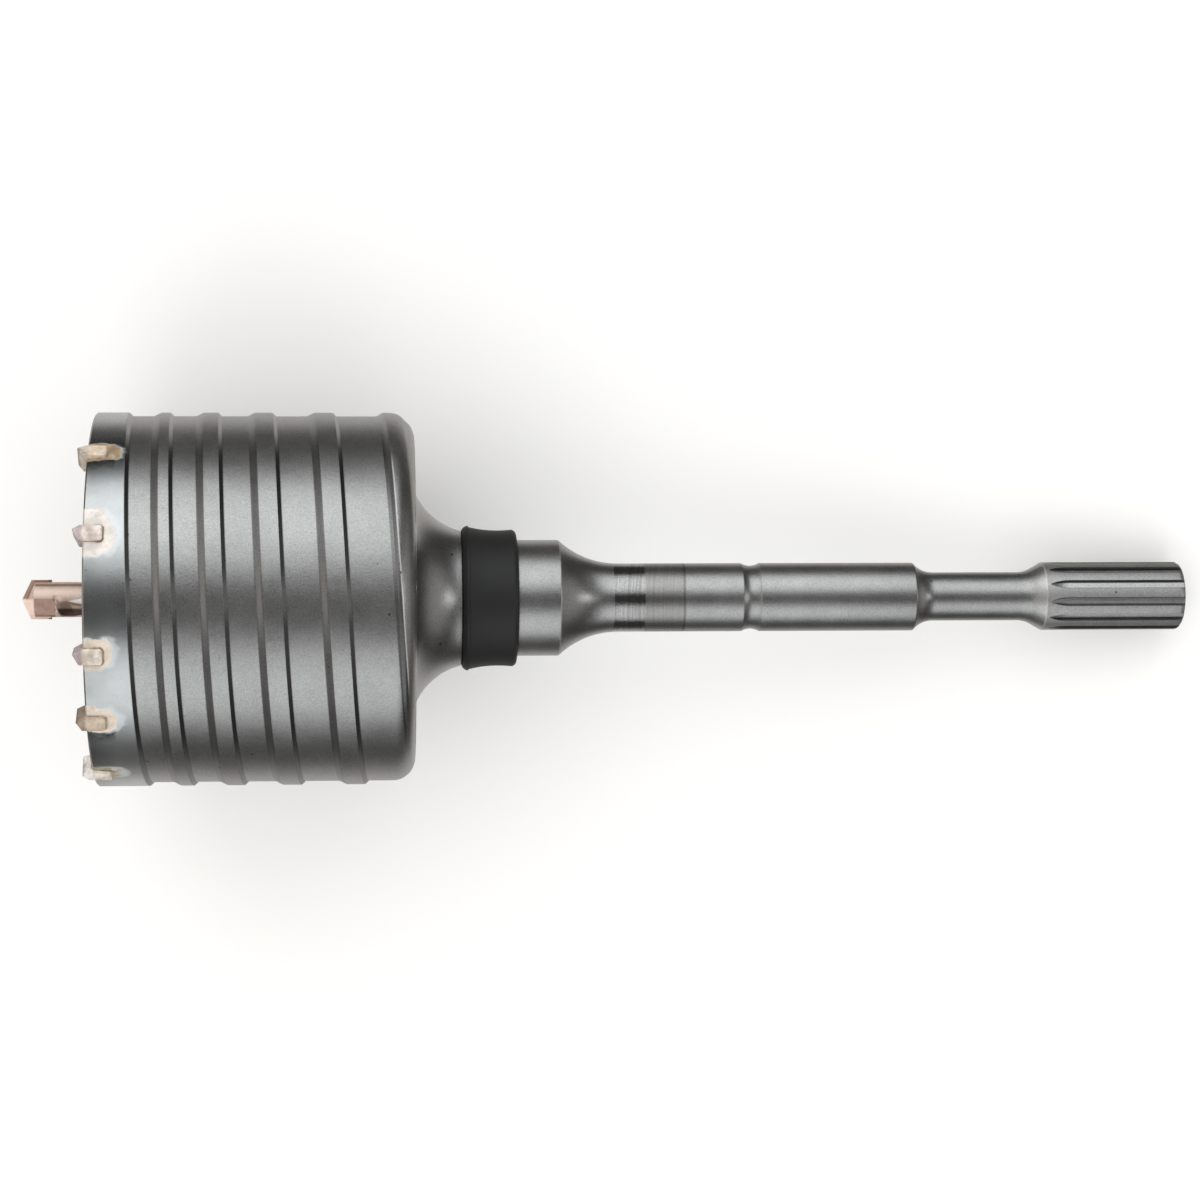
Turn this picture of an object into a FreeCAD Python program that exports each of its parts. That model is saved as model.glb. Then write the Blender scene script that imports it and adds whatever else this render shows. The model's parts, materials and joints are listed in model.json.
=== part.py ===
"""Hammer core bit: helically ribbed cup with brazed carbide teeth, pilot drill and splined shank.

The bit is drawn along +X, with the cup's rim at X = 0 and the splined end at the far side.
Angles round the axis are counted from +Z towards +Y.  Every piece then gets the same rest
placement: the bit lies on the ground on the back of its cup and on the end of its spline.
Lengths are in millimetres and angles in degrees.
"""
import FreeCAD, Part
import math
import os
import re
import Sketcher

Vector = FreeCAD.Vector
X_AXIS = Vector(1, 0, 0)
Y_AXIS = Vector(0, 1, 0)

SIZES = {
    # Cup, whose outside follows from the circle that the teeth cut
    "cutting_diameter": 105.0,
    "tooth_stand": 1.1,
    "cup_length": 86.6,
    "cup_wall": 3.9,
    "cup_back": 7.0,
    "cavity_corner": 4.0,
    "rim_chamfer": 0.6,
    # Helical ribs
    "rib_height": 1.0,
    "rib_corner": 4.7,
    "floor_corner": 4.1,
    "first_land": 8.7,
    "groove_lead": 10.3,
    "lead_growth": 0.888,
    "groove_width": 8.7,
    "width_growth": 0.31,
    "steep_flank": 0.97,
    "gentle_flank": 2.0,
    "groove_start": -0.32,
    "run_in": 0.16,
    # Neck and shank, each length measured on from the one before
    "flare_length": 13.0,
    "flare_start_diameter": 59.8,
    "flare_end_diameter": 37.4,
    "flare_radius": 18.8,
    "ring_seat_diameter": 31.2,
    "collar_diameter": 32.2,
    "collar_length": 11.75,
    "taper_length": 16.55,
    "shank_diameter": 19.05,
    "shank_length": 83.1,
    "shank_groove_place": 37.2,
    "shank_groove_depth": 0.73,
    "shank_groove_radius": 4.8,
    "shoulder_length": 5.8,
    "neck_diameter": 13.55,
    "neck_length": 24.0,
    "spline_flare_length": 6.9,
    "spline_flare_radius": 8.0,
    "spline_flare_angle": 30.0,
    # Spline
    "spline_length": 39.6,
    "spline_count": 12,
    "spline_depth": 1.0,
    "spline_mouth": 2.5,
    "spline_floor": 1.0,
    "spline_setback": 1.0,
    "spline_runout_radius": 15.6,
    "spline_turn": 9.6,
    "end_round": 1.7,
    # Teeth and braze
    "tooth_inner_stand": 0.8,
    "tooth_width": 4.2,
    "tooth_seat": 5.1,
    "tooth_reach": 2.7,
    "tooth_ridge": 0.9,
    "leading_drop": 2.1,
    "trailing_drop": 1.6,
    "tooth_corner": 0.7,
    "tooth_bevel": 0.3,
    "braze_thickness": 0.2,
    "braze_inset": 0.1,
    "tooth_angle_a": 48.7,
    "tooth_angle_b": 19.4,
    "tooth_angle_c": -16.8,
    "tooth_angle_d": -39.0,
    "tooth_angle_e": -65.5,
    # Pilot drill
    "pilot_reach": 20.9,
    "pilot_diameter": 9.7,
    "pilot_point_angle": 129.0,
    "nose_setback": 1.3,
    "flute_front": 8.0,
    "flute_length": 62.0,
    "flute_lead": 40.0,
    "flute_width": 10.0,
    "flute_web": 5.2,
    "flute_turn": 120.0,
    "bore_diameter": 10.4,
    "bore_taper": 20.0,
    "taper_gap": 0.02,
    "pilot_shoulder": 6.0,
    "pilot_tail": 1.6,
    "plate_diameter": 10.8,
    "plate_length": 8.0,
    "plate_thickness": 2.4,
    "plate_relief": 0.9,
    # Drift slot under the ring
    "drift_width": 7.0,
    "drift_length": 11.0,
    "drift_setback": 2.4,
    "drift_corner": 2.0,
    # Dust ring
    "ring_length": 15.3,
    "ring_bead_diameter": 40.2,
    "ring_bead_radius": 1.9,
    "ring_waist_place": 9.9,
    "ring_waist_diameter": 37.6,
    "ring_land_diameter": 38.0,
    "ring_corner": 1.4,
    "ring_gap": 0.05,
}

# Places along the axis, and radii, that follow from the sizes above
PLACES = {
    "tooth_outside": "cutting_diameter / 2",
    "rib_radius": "tooth_outside - tooth_stand",
    "floor_radius": "rib_radius - rib_height",
    "cavity_radius": "rib_radius - cup_wall",
    "cavity_depth": "cup_length - cup_back",
    "ring_front": "cup_length + flare_length",
    "ring_back": "ring_front + ring_length",
    "collar_end": "ring_back + collar_length",
    "shank_start": "collar_end + taper_length",
    "shank_end": "shank_start + shank_length",
    "neck_start": "shank_end + shoulder_length",
    "neck_end": "neck_start + neck_length",
    "spline_start": "neck_end + spline_flare_length",
    "bit_end": "spline_start + spline_length",
    "shank_radius": "shank_diameter / 2",
    "neck_radius": "neck_diameter / 2",
    "spline_floor_radius": "shank_radius - spline_depth",
    "slot_depth": "tooth_seat + braze_thickness",
    "tooth_inside": "cavity_radius - tooth_inner_stand",
    "tooth_half": "tooth_width / 2",
    "slot_half": "tooth_half + braze_thickness",
    "slot_corner": "tooth_corner + braze_thickness",
    "drift_front": "ring_front + drift_setback",
    "drift_middle": "drift_front + drift_length / 2",
    "drift_back": "drift_front + drift_length",
    "pilot_end": "drift_front + pilot_tail",
    "plate_back": "plate_length - pilot_reach",
}

doc = FreeCAD.newDocument("CoreBit")
sheet = doc.addObject("Spreadsheet::Sheet", "Sizes")
for row, (alias, amount) in enumerate(SIZES.items(), start=1):
    sheet.set(f"A{row}", alias)
    sheet.set(f"B{row}", str(amount))
    sheet.setAlias(f"B{row}", alias)
doc.recompute()


def tied(formula):
    """Write a formula of size and place names as one that refers to the sheet's cells."""
    def refer(match):
        name = match.group()
        if name in PLACES:
            return f"({tied(PLACES[name])})"
        return f"Sizes.{name}" if name in SIZES else name
    return re.sub(r"[a-z][a-z_]*", refer, formula)


def number(formula):
    """Work out a formula with the sheet's present values."""
    return float(sheet.evalExpression(tied(formula)))


def new_body(name):
    """Start an empty body."""
    return doc.addObject("PartDesign::Body", name)


def new_sketch(body, name, plane="XY_Plane", angle=None):
    """Start a sketch on one of the body's own origin planes, turned by an angle round the bit."""
    sketch = body.newObject("Sketcher::SketchObject", name)
    origin_plane = next(item for item in body.Origin.OriginFeatures if item.Role == plane)
    sketch.AttachmentSupport = [(origin_plane, "")]
    sketch.MapMode = "FlatFace"
    if angle is not None:
        bit_axis = Vector(0, 0, 1) if plane == "YZ_Plane" else X_AXIS
        rotation = FreeCAD.Rotation(bit_axis, number(angle))
        sketch.AttachmentOffset = FreeCAD.Placement(Vector(), rotation)
        sketch.setExpression("AttachmentOffset.Rotation.Angle", tied(angle))
    return sketch


def pin_point(sketch, geometry, point, place):
    """Tie a sketch point to a pair of formulas; None leaves that direction free."""
    for kind, axis, formula in (("DistanceX", -2, place[0]), ("DistanceY", -1, place[1])):
        if formula is None:
            continue
        if formula == "0":
            sketch.addConstraint(Sketcher.Constraint("PointOnObject", geometry, point, axis))
            continue
        constraint = Sketcher.Constraint(kind, -1, 1, geometry, point, number(formula))
        index = sketch.addConstraint(constraint)
        sketch.setExpression(f"Constraints[{index}]", tied(formula))


def bend_centre(start, end, axis, value):
    """Find the centre, on a chord's bisector, of which one coordinate is known."""
    middle = (start + end) / 2
    chord = end - start
    if axis == "x":
        return Vector(value, middle.y - (value - middle.x) * chord.x / chord.y, 0)
    return Vector(middle.x - (value - middle.y) * chord.y / chord.x, value, 0)


def bulge_centre(start, end, radius):
    """Find the centre of an arc of this radius to the left of its chord."""
    chord = end - start
    height = math.sqrt(radius ** 2 - (chord.Length / 2) ** 2)
    left = Vector(-chord.y, chord.x, 0).normalize()
    return (start + end) / 2 + left * height


def draw_outline(sketch, corners, bends=None):
    """Draw an outline through the corners and close it.

    corners is a list of formula pairs.  bends gives, for the number of the corner where an arc
    starts, ("x", formula) or ("y", formula) for one coordinate of its centre, or
    ("left", formula) for the radius of an arc whose centre is on the left.
    """
    bends = bends or {}
    points = [Vector(number(x), number(y), 0) for x, y in corners]
    count = len(points)
    ends = []
    for index, start in enumerate(points):
        end = points[(index + 1) % count]
        if index not in bends:
            geometry = sketch.addGeometry(Part.LineSegment(start, end))
            ends.append((geometry, 1, 2))
            continue
        kind, formula = bends[index]
        if kind == "left":
            centre = bulge_centre(start, end, number(formula))
        else:
            centre = bend_centre(start, end, kind, number(formula))
        turns_left = (end - start).cross(centre - start).z > 0
        first, last = (start, end) if turns_left else (end, start)
        angles = [math.atan2(point.y - centre.y, point.x - centre.x) for point in (first, last)]
        circle = Part.Circle(centre, Vector(0, 0, 1), (start - centre).Length)
        geometry = sketch.addGeometry(Part.ArcOfCircle(circle, *angles))
        ends.append((geometry, 1, 2) if turns_left else (geometry, 2, 1))
    for index, (geometry, first, last) in enumerate(ends):
        follower, follower_first, _ = ends[(index + 1) % count]
        sketch.addConstraint(Sketcher.Constraint("Coincident", geometry, last, follower, follower_first))
        pin_point(sketch, geometry, first, corners[index])
        if index not in bends:
            continue
        kind, formula = bends[index]
        if kind == "left":
            radius = Sketcher.Constraint("Radius", geometry, number(formula))
            sketch.setExpression(f"Constraints[{sketch.addConstraint(radius)}]", tied(formula))
        else:
            pin_point(sketch, geometry, 3, (formula, None) if kind == "x" else (None, formula))


def turn(body, sketch, kind="PartDesign::Revolution"):
    """Turn an outline round the bit's axis, as metal or as a cut."""
    feature = body.newObject(kind, f"{sketch.Name}_turned")
    feature.Profile = sketch
    feature.ReferenceAxis = (sketch, ["H_Axis"])
    feature.Angle = 360
    return feature


def pad(body, sketch, length, start="0", middle=False):
    """Thicken an outline, from a start height above its plane or to both sides of it."""
    if start != "0":
        sketch.setExpression("AttachmentOffset.Base.z", tied(start))
    feature = body.newObject("PartDesign::Pad", f"{sketch.Name}_padded")
    feature.Profile = sketch
    feature.Midplane = middle
    feature.setExpression("Length", tied(length))
    return feature


def polar_pattern(body, feature, count_formula):
    """Repeat a feature evenly round the bit's axis."""
    pattern = body.newObject("PartDesign::PolarPattern", f"{feature.Name}_round")
    pattern.Originals = [feature]
    axis = next(item for item in body.Origin.OriginFeatures if item.Role == "X_Axis")
    pattern.Axis = (axis, [""])
    pattern.Angle = 360
    pattern.setExpression("Occurrences", tied(count_formula))
    body.Tip = pattern
    return pattern


def make_forging():
    """Turn the cup at its groove floor, the neck and the shank, and cut all but the tooth slots."""
    body = new_body("forging")
    outside = new_sketch(body, "outside")
    flare_x = "neck_end + spline_flare_radius * sin(spline_flare_angle)"
    flare_y = "neck_radius + spline_flare_radius * (1 - cos(spline_flare_angle))"
    draw_outline(outside, [
        ("0", "0"),
        ("0", "floor_radius"),
        ("cup_length - floor_corner", "floor_radius"),
        ("cup_length", "floor_radius - floor_corner"),
        ("cup_length", "flare_start_diameter / 2"),
        ("ring_front", "flare_end_diameter / 2"),
        ("ring_front", "ring_seat_diameter / 2"),
        ("ring_back", "ring_seat_diameter / 2"),
        ("ring_back", "collar_diameter / 2"),
        ("collar_end", "collar_diameter / 2"),
        ("shank_start", "shank_radius"),
        ("shank_end", "shank_radius"),
        ("neck_start", "neck_radius"),
        ("neck_end", "neck_radius"),
        (flare_x, flare_y),
        ("spline_start", "shank_radius"),
        ("bit_end - end_round", "shank_radius"),
        ("bit_end", "shank_radius - end_round"),
        ("bit_end", "0"),
    ], {
        2: ("x", "cup_length - floor_corner"),
        4: ("left", "flare_radius"),
        9: ("x", "shank_start"),
        11: ("x", "neck_start"),
        13: ("x", "neck_end"),
        16: ("x", "bit_end - end_round"),
    })
    turn(body, outside)
    cut_cavity(body)
    cut_drift_slot(body)
    cut_shank_groove(body)
    cut_spline(body)
    return body


def cut_cavity(body):
    """Bore the cup, with a rounded inner corner, and the taper that holds the pilot drill."""
    cavity = new_sketch(body, "cavity")
    draw_outline(cavity, [
        ("0 - rim_chamfer", "0"),
        ("0 - rim_chamfer", "cavity_radius"),
        ("cavity_depth - cavity_corner", "cavity_radius"),
        ("cavity_depth", "cavity_radius - cavity_corner"),
        ("cavity_depth", "0"),
    ], {2: ("x", "cavity_depth - cavity_corner")})
    turn(body, cavity, "PartDesign::Groove")
    taper = new_sketch(body, "taper_bore")
    draw_outline(taper, [
        ("cavity_depth - 1", "0"),
        ("cavity_depth - 1", "(bore_diameter + 1 / bore_taper) / 2"),
        ("drift_middle", "(bore_diameter - (drift_middle - cavity_depth) / bore_taper) / 2"),
        ("drift_middle", "0"),
    ])
    turn(body, taper, "PartDesign::Groove")


def cut_drift_slot(body):
    """Cut the slot through the neck where a wedge knocks the pilot drill out."""
    slot = new_sketch(body, "drift_slot", "XZ_Plane")
    half = "drift_width / 2"
    draw_outline(slot, [
        ("drift_front + drift_corner", f"0 - {half}"),
        ("drift_back - drift_corner", f"0 - {half}"),
        ("drift_back", f"drift_corner - {half}"),
        ("drift_back", f"{half} - drift_corner"),
        ("drift_back - drift_corner", half),
        ("drift_front + drift_corner", half),
        ("drift_front", f"{half} - drift_corner"),
        ("drift_front", f"drift_corner - {half}"),
    ], {
        1: ("x", "drift_back - drift_corner"),
        3: ("x", "drift_back - drift_corner"),
        5: ("x", "drift_front + drift_corner"),
        7: ("x", "drift_front + drift_corner"),
    })
    pocket = body.newObject("PartDesign::Pocket", "drift_slot_cut")
    pocket.Profile = slot
    pocket.Type = "ThroughAll"
    pocket.Midplane = True


def cut_shank_groove(body):
    """Turn the shallow round groove in the plain shank."""
    sketch = new_sketch(body, "shank_groove")
    centre_x = "shank_start + shank_groove_place"
    centre_y = "shank_radius - shank_groove_depth + shank_groove_radius"
    centre = Vector(number(centre_x), number(centre_y), 0)
    circle = sketch.addGeometry(Part.Circle(centre, Vector(0, 0, 1), number("shank_groove_radius")))
    pin_point(sketch, circle, 3, (centre_x, centre_y))
    radius = Sketcher.Constraint("Radius", circle, number("shank_groove_radius"))
    sketch.setExpression(f"Constraints[{sketch.addConstraint(radius)}]", tied("shank_groove_radius"))
    turn(body, sketch, "PartDesign::Groove")


def cut_spline(body):
    """Mill one spline groove with the cutter's curved run-out, and repeat it round the shank."""
    path = new_sketch(body, "spline_path", angle="spline_turn")
    floor = number("spline_floor_radius")
    curve_start = number("spline_start + spline_setback")
    radius = number("spline_runout_radius")
    drop = number("spline_depth")
    reach = math.sqrt(radius ** 2 - (radius - drop) ** 2)
    curve_end = Vector(curve_start + reach, floor, 0)
    finish = Vector(number("bit_end + end_round"), floor, 0)
    line = path.addGeometry(Part.LineSegment(finish, curve_end))
    centre = Vector(curve_end.x, floor + radius, 0)
    lift = math.asin(reach / radius)
    circle = Part.Circle(centre, Vector(0, 0, 1), radius)
    arc = path.addGeometry(Part.ArcOfCircle(circle, -math.pi / 2 - lift, -math.pi / 2))
    path.addConstraint(Sketcher.Constraint("Tangent", line, 2, arc, 2))
    path.addConstraint(Sketcher.Constraint("Horizontal", line))
    pin_point(path, line, 1, ("bit_end + end_round", "spline_floor_radius"))
    pin_point(path, arc, 1, ("spline_start + spline_setback", "shank_radius"))
    bend = Sketcher.Constraint("Radius", arc, radius)
    path.setExpression(f"Constraints[{path.addConstraint(bend)}]", tied("spline_runout_radius"))

    section = new_sketch(body, "spline_section", "YZ_Plane", "spline_turn")
    section.setExpression("AttachmentOffset.Base.z", tied("bit_end + end_round"))
    slope = "(spline_mouth - spline_floor) / 2"
    top = "shank_radius + spline_depth"
    draw_outline(section, [
        ("spline_floor_radius", "0 - spline_floor / 2"),
        ("spline_floor_radius", "spline_floor / 2"),
        (top, f"spline_floor / 2 + 2 * {slope}"),
        (top, f"0 - spline_floor / 2 - 2 * {slope}"),
    ])
    cut = body.newObject("PartDesign::SubtractivePipe", "spline_groove")
    cut.Profile = section
    cut.Spine = path
    polar_pattern(body, cut, "spline_count")


def make_rib_blank():
    """Turn the skin at rib height that the helical groove is cut from."""
    body = new_body("rib_blank")
    skin = new_sketch(body, "rib_skin")
    inner = "floor_radius - rib_height"
    draw_outline(skin, [
        ("0", inner),
        ("0", "rib_radius - rim_chamfer"),
        ("rim_chamfer", "rib_radius"),
        ("cup_length - rib_corner", "rib_radius"),
        ("cup_length", "rib_radius - rib_corner"),
        ("cup_length", "rib_radius - rib_corner - rib_height"),
        ("cup_length - rib_corner - rib_height", "rib_radius - rib_corner - rib_height"),
        ("cup_length - rib_corner - rib_height", inner),
    ], {3: ("x", "cup_length - rib_corner")})
    turn(body, skin)
    return body


def groove_wall(turn_count):
    """Place of the land's back edge along the axis after this many turns from the top."""
    growth = number("lead_growth") * turn_count * abs(turn_count)
    return number("first_land") + number("groove_lead") * turn_count + growth


def groove_section(turn_count, floor, bottom=None):
    """Wire across the groove at one turn: sloped flanks to its floor, then straight down."""
    top = number("rib_radius + rib_height")
    rise = (top - number("rib_radius")) / number("rib_height")
    steep = number("steep_flank")
    gentle = number("gentle_flank")
    front = groove_wall(turn_count)
    back = front + number("groove_width") + number("width_growth") * turn_count ** 2
    sink = (number("rib_radius") - floor) / number("rib_height")
    outline = [(front - steep * rise, top), (front + steep * sink, floor)]
    if bottom is not None:
        outline += [(front + steep * sink, bottom), (back - gentle * sink, bottom)]
    outline += [(back - gentle * sink, floor), (back + gentle * rise, top)]
    angle = math.radians(90 - 360 * turn_count)
    corners = [Vector(x, r * math.sin(angle), r * math.cos(angle)) for x, r in outline]
    return Part.makePolygon(corners + corners[:1])


def sweep_groove(name, sections):
    """Loft a cutter through sections of the groove."""
    cutter = doc.addObject("Part::Feature", name)
    loft = Part.makeLoft(sections, True, False)
    cutter.Shape = loft if loft.Volume > 0 else loft.reversed()
    return cutter


def make_groove_cutters():
    """Sweep the groove's section along its growing lead, in half turns, and its shallow start.

    The lead and the width grow with every turn, so the section is lofted from place to place.
    """
    steps_per_half = 8
    step_turn = 0.5 / steps_per_half
    start = number("groove_start")
    full = start + number("run_in")
    bottom = number("rib_radius - rib_corner - 2 * rib_height")
    shallow = number("rib_radius + rib_height / 10")
    deep = number("floor_radius - rib_height / 10")
    run_in_steps = 4
    sections = []
    for step in range(run_in_steps + 1):
        share = step / run_in_steps
        sections.append(groove_section(start + (full - start) * share, shallow + (deep - shallow) * share))
    cutters = [sweep_groove("groove_run_in", sections)]
    first = full
    while groove_wall(first) < number("cup_length + steep_flank"):
        turns = [first + step_turn * step for step in range(steps_per_half + 1)]
        sections = [groove_section(turn_count, deep, bottom) for turn_count in turns]
        cutters.append(sweep_groove(f"groove_half_{len(cutters):02d}", sections))
        first += 0.5
    return cutters


def cut_ribs(blank):
    """Cut the helical groove out of the blank, one half turn after another."""
    ribs = blank
    for cutter in make_groove_cutters():
        ribs = cut_from(ribs, cutter, f"{cutter.Name}_cut")
    return ribs


def make_tooth_block(name, length, half, corner, front, start, height):
    """Pad a block that lies in a rim slot, with its back corners rounded."""
    body = new_body(name)
    sketch = new_sketch(body, f"{name}_outline")
    draw_outline(sketch, front + [
        (f"{length} - {corner}", f"0 - {half}"),
        (length, f"{corner} - {half}"),
        (length, f"{half} - {corner}"),
        (f"{length} - {corner}", half),
    ], {
        len(front): ("x", f"{length} - {corner}"),
        len(front) + 2: ("x", f"{length} - {corner}"),
    })
    pad(body, sketch, height, start)
    return body


def set_angle(body, letter, opposite):
    """Turn a body round the axis to its tooth's place."""
    half_turn = 180 if opposite else 0
    angle = half_turn - number(f"tooth_angle_{letter}")
    body.Placement = FreeCAD.Placement(Vector(), FreeCAD.Rotation(X_AXIS, angle))


def make_slot(name, letter, opposite):
    """Make the cutter of one tooth's slot in the rim."""
    front = [("0 - slot_half", "slot_half"), ("0 - slot_half", "0 - slot_half")]
    body = make_tooth_block(name, "slot_depth", "slot_half", "slot_corner", front,
                            "cavity_radius - rib_height", "cup_wall + 2 * rib_height")
    set_angle(body, letter, opposite)
    return body


def make_tooth(name, letter, opposite):
    """Make one carbide tooth: roof point with its ridge near the leading side."""
    front = [
        ("leading_drop - tooth_reach", "tooth_half"),
        ("0 - tooth_reach", "tooth_ridge"),
        ("trailing_drop - tooth_reach", "0 - tooth_half"),
    ]
    body = make_tooth_block(name, "tooth_seat", "tooth_half", "tooth_corner", front,
                            "tooth_inside", "tooth_outside - tooth_inside")
    doc.recompute()
    outside = number("tooth_outside")
    padded = body.Tip
    rim_edges = []
    for index, edge in enumerate(padded.Shape.Edges, start=1):
        if all(abs(vertex.Z - outside) < 1e-6 for vertex in edge.Vertexes):
            rim_edges.append(f"Edge{index}")
    bevel = body.newObject("PartDesign::Chamfer", f"{name}_bevel")
    bevel.Base = (padded, rim_edges)
    bevel.setExpression("Size", tied("tooth_bevel"))
    set_angle(body, letter, opposite)
    return body


def make_braze_seam(name, letter, opposite):
    """Make the braze that fills the gap between one tooth and its slot."""
    body = new_body(name)
    sketch = new_sketch(body, f"{name}_outline")
    draw_outline(sketch, [
        ("braze_inset", "0 - slot_half"),
        ("slot_depth - slot_corner", "0 - slot_half"),
        ("slot_depth", "slot_corner - slot_half"),
        ("slot_depth", "slot_half - slot_corner"),
        ("slot_depth - slot_corner", "slot_half"),
        ("braze_inset", "slot_half"),
        ("braze_inset", "tooth_half"),
        ("tooth_seat - tooth_corner", "tooth_half"),
        ("tooth_seat", "tooth_half - tooth_corner"),
        ("tooth_seat", "tooth_corner - tooth_half"),
        ("tooth_seat - tooth_corner", "0 - tooth_half"),
        ("braze_inset", "0 - tooth_half"),
    ], {
        1: ("x", "slot_depth - slot_corner"),
        3: ("x", "slot_depth - slot_corner"),
        7: ("x", "tooth_seat - tooth_corner"),
        9: ("x", "tooth_seat - tooth_corner"),
    })
    pad(body, sketch, "cup_wall - 2 * braze_inset", "cavity_radius + braze_inset")
    set_angle(body, letter, opposite)
    return body


def make_pilot_drill():
    """Turn the pilot drill, mill its two helical flutes and the slot for its tip plate."""
    body = new_body("pilot_drill")
    outline = new_sketch(body, "pilot_outline")
    radius = "pilot_diameter / 2"
    nose = "nose_setback - pilot_reach"
    seat = "bore_diameter / 2 - taper_gap"
    thick = f"{seat} + pilot_shoulder / bore_taper / 2"
    thin = f"{seat} - (pilot_end - cavity_depth) / bore_taper / 2"
    draw_outline(outline, [
        (nose, "0"),
        (f"{nose} + {radius} / tan(pilot_point_angle / 2)", radius),
        ("cavity_depth - 2 * pilot_shoulder", radius),
        ("cavity_depth - pilot_shoulder", thick),
        ("pilot_end", thin),
        ("pilot_end", "0"),
    ])
    turn(body, outline)

    flute = new_sketch(body, "flute_section", angle="flute_turn")
    outer = "pilot_diameter / 2 + flute_web / 10"
    span = "flute_width / 2"
    depth = "(pilot_diameter / 2 + flute_web / 10 - flute_web / 2)"
    draw_outline(flute, [
        (f"0 - flute_front - {span}", outer),
        (f"{span} - flute_front", outer),
    ] + [("0 - flute_front", "flute_web / 2")], {
        1: ("y", f"flute_web / 2 + ({span} * {span} + {depth} * {depth}) / 2 / {depth}"),
        2: ("y", f"flute_web / 2 + ({span} * {span} + {depth} * {depth}) / 2 / {depth}"),
    })
    helix = body.newObject("PartDesign::SubtractiveHelix", "flute")
    helix.Profile = flute
    helix.ReferenceAxis = (flute, ["H_Axis"])
    helix.Mode = "pitch-height-angle"
    helix.setExpression("Pitch", tied("flute_lead"))
    helix.setExpression("Height", tied("flute_length"))
    polar_pattern(body, helix, "2")

    slot = new_sketch(body, "plate_slot")
    reach = "plate_diameter / 2 + plate_relief"
    draw_outline(slot, [
        ("0 - pilot_reach", f"0 - {reach}"),
        ("plate_back", f"0 - {reach}"),
        ("plate_back", reach),
        ("0 - pilot_reach", reach),
    ])
    pocket = body.newObject("PartDesign::Pocket", "plate_slot_cut")
    pocket.Profile = slot
    pocket.Midplane = True
    pocket.setExpression("Length", tied("plate_thickness"))
    return body


def make_tip_plate():
    """Make the carbide plate of the pilot drill, each lip relieved behind its edge."""
    body = new_body("pilot_tip_plate")
    outline = new_sketch(body, "plate_outline")
    radius = "plate_diameter / 2"
    corner = f"{radius} / tan(pilot_point_angle / 2) - pilot_reach"
    draw_outline(outline, [
        ("0 - pilot_reach", "0"),
        (corner, f"0 - {radius}"),
        ("plate_back", f"0 - {radius}"),
        ("plate_back", radius),
        (corner, radius),
    ])
    plate = pad(body, outline, "plate_thickness", middle=True)
    doc.recompute()
    lips = []
    for index, edge in enumerate(plate.Shape.Edges, start=1):
        middle = edge.CenterOfMass
        course = edge.tangentAt(edge.FirstParameter)
        slanted = min(abs(course.x), abs(course.y)) > 0.1
        if slanted and middle.y * middle.z > 0:
            lips.append(f"Edge{index}")
    relief = body.newObject("PartDesign::Chamfer", "lip_relief")
    relief.Base = (plate, lips)
    relief.setExpression("Size", tied("plate_relief"))
    return body


def make_dust_ring():
    """Turn the rubber ring: rolled front bead, hollow waist and a plain land behind it."""
    body = new_body("dust_ring")
    outline = new_sketch(body, "ring_outline")
    front = "ring_front + ring_gap"
    back = "ring_back - ring_gap"
    bore = "ring_seat_diameter / 2 + ring_gap"
    draw_outline(outline, [
        (front, bore),
        (front, "ring_bead_diameter / 2 - ring_bead_radius"),
        (f"{front} + ring_bead_radius", "ring_bead_diameter / 2"),
        ("ring_front + ring_waist_place", "ring_waist_diameter / 2"),
        (f"{back} - ring_corner", "ring_land_diameter / 2"),
        (back, "ring_land_diameter / 2 - ring_corner"),
        (back, bore),
    ], {
        1: ("x", f"{front} + ring_bead_radius"),
        2: ("x", "ring_front + ring_waist_place"),
        3: ("x", "ring_front + ring_waist_place"),
        4: ("x", f"{back} - ring_corner"),
    })
    turn(body, outline)
    return body


def rest_placement():
    """Lay the bit down on the back of its cup and the end of its spline.

    The bit rolls until one spline groove is underneath, so that two splines touch the ground.
    The cup touches it with a rib's back edge or with its rounded corner.
    Each is a circle of some radius about a known centre.
    """
    roll = number("spline_turn")
    half_groove = number("spline_mouth / 2 / shank_radius")
    rounding = number("end_round")
    spline_out = number("shank_radius") * math.cos(half_groove)
    end = (number("bit_end - end_round"), spline_out - rounding, rounding)
    corner = number("floor_corner")
    touches = [(number("cup_length") - corner, number("floor_radius") - corner, corner)]
    edge_turn = (270 + roll) / 360
    while groove_wall(edge_turn) < number("cup_length - rib_corner"):
        touches.append((groove_wall(edge_turn), number("rib_radius"), 0.0))
        edge_turn += 1
    tilts = []
    for along, out, rounding in touches:
        run = end[0] - along
        rise = out - end[1]
        span = math.hypot(run, rise)
        tilts.append(math.atan2(rise, run) + math.asin((rounding - end[2]) / span))
    tilt = max(tilts)
    rotation = FreeCAD.Rotation(Y_AXIS, math.degrees(tilt)).multiply(FreeCAD.Rotation(X_AXIS, -roll))
    height = end[0] * math.sin(tilt) + end[1] * math.cos(tilt) + end[2]
    front = -number("pilot_reach") * math.cos(tilt)
    back = number("bit_end") * math.cos(tilt) + number("shank_radius - end_round") * math.sin(tilt)
    return FreeCAD.Placement(Vector(-(front + back) / 2, 0, height), rotation)


def cut_from(base, tool, name):
    """Cut one object out of another."""
    cut = doc.addObject("Part::Cut", name)
    cut.Base = base
    cut.Tool = tool
    return cut


def fuse(name, shapes):
    """Join several objects into one."""
    joined = doc.addObject("Part::MultiFuse", name)
    joined.Shapes = shapes
    joined.Refine = False
    return joined


def place(piece, label, placement):
    """Name a finished piece and lay it down with the rest."""
    piece.Label = label
    piece.Placement = placement.multiply(piece.Placement)
    return piece


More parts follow.
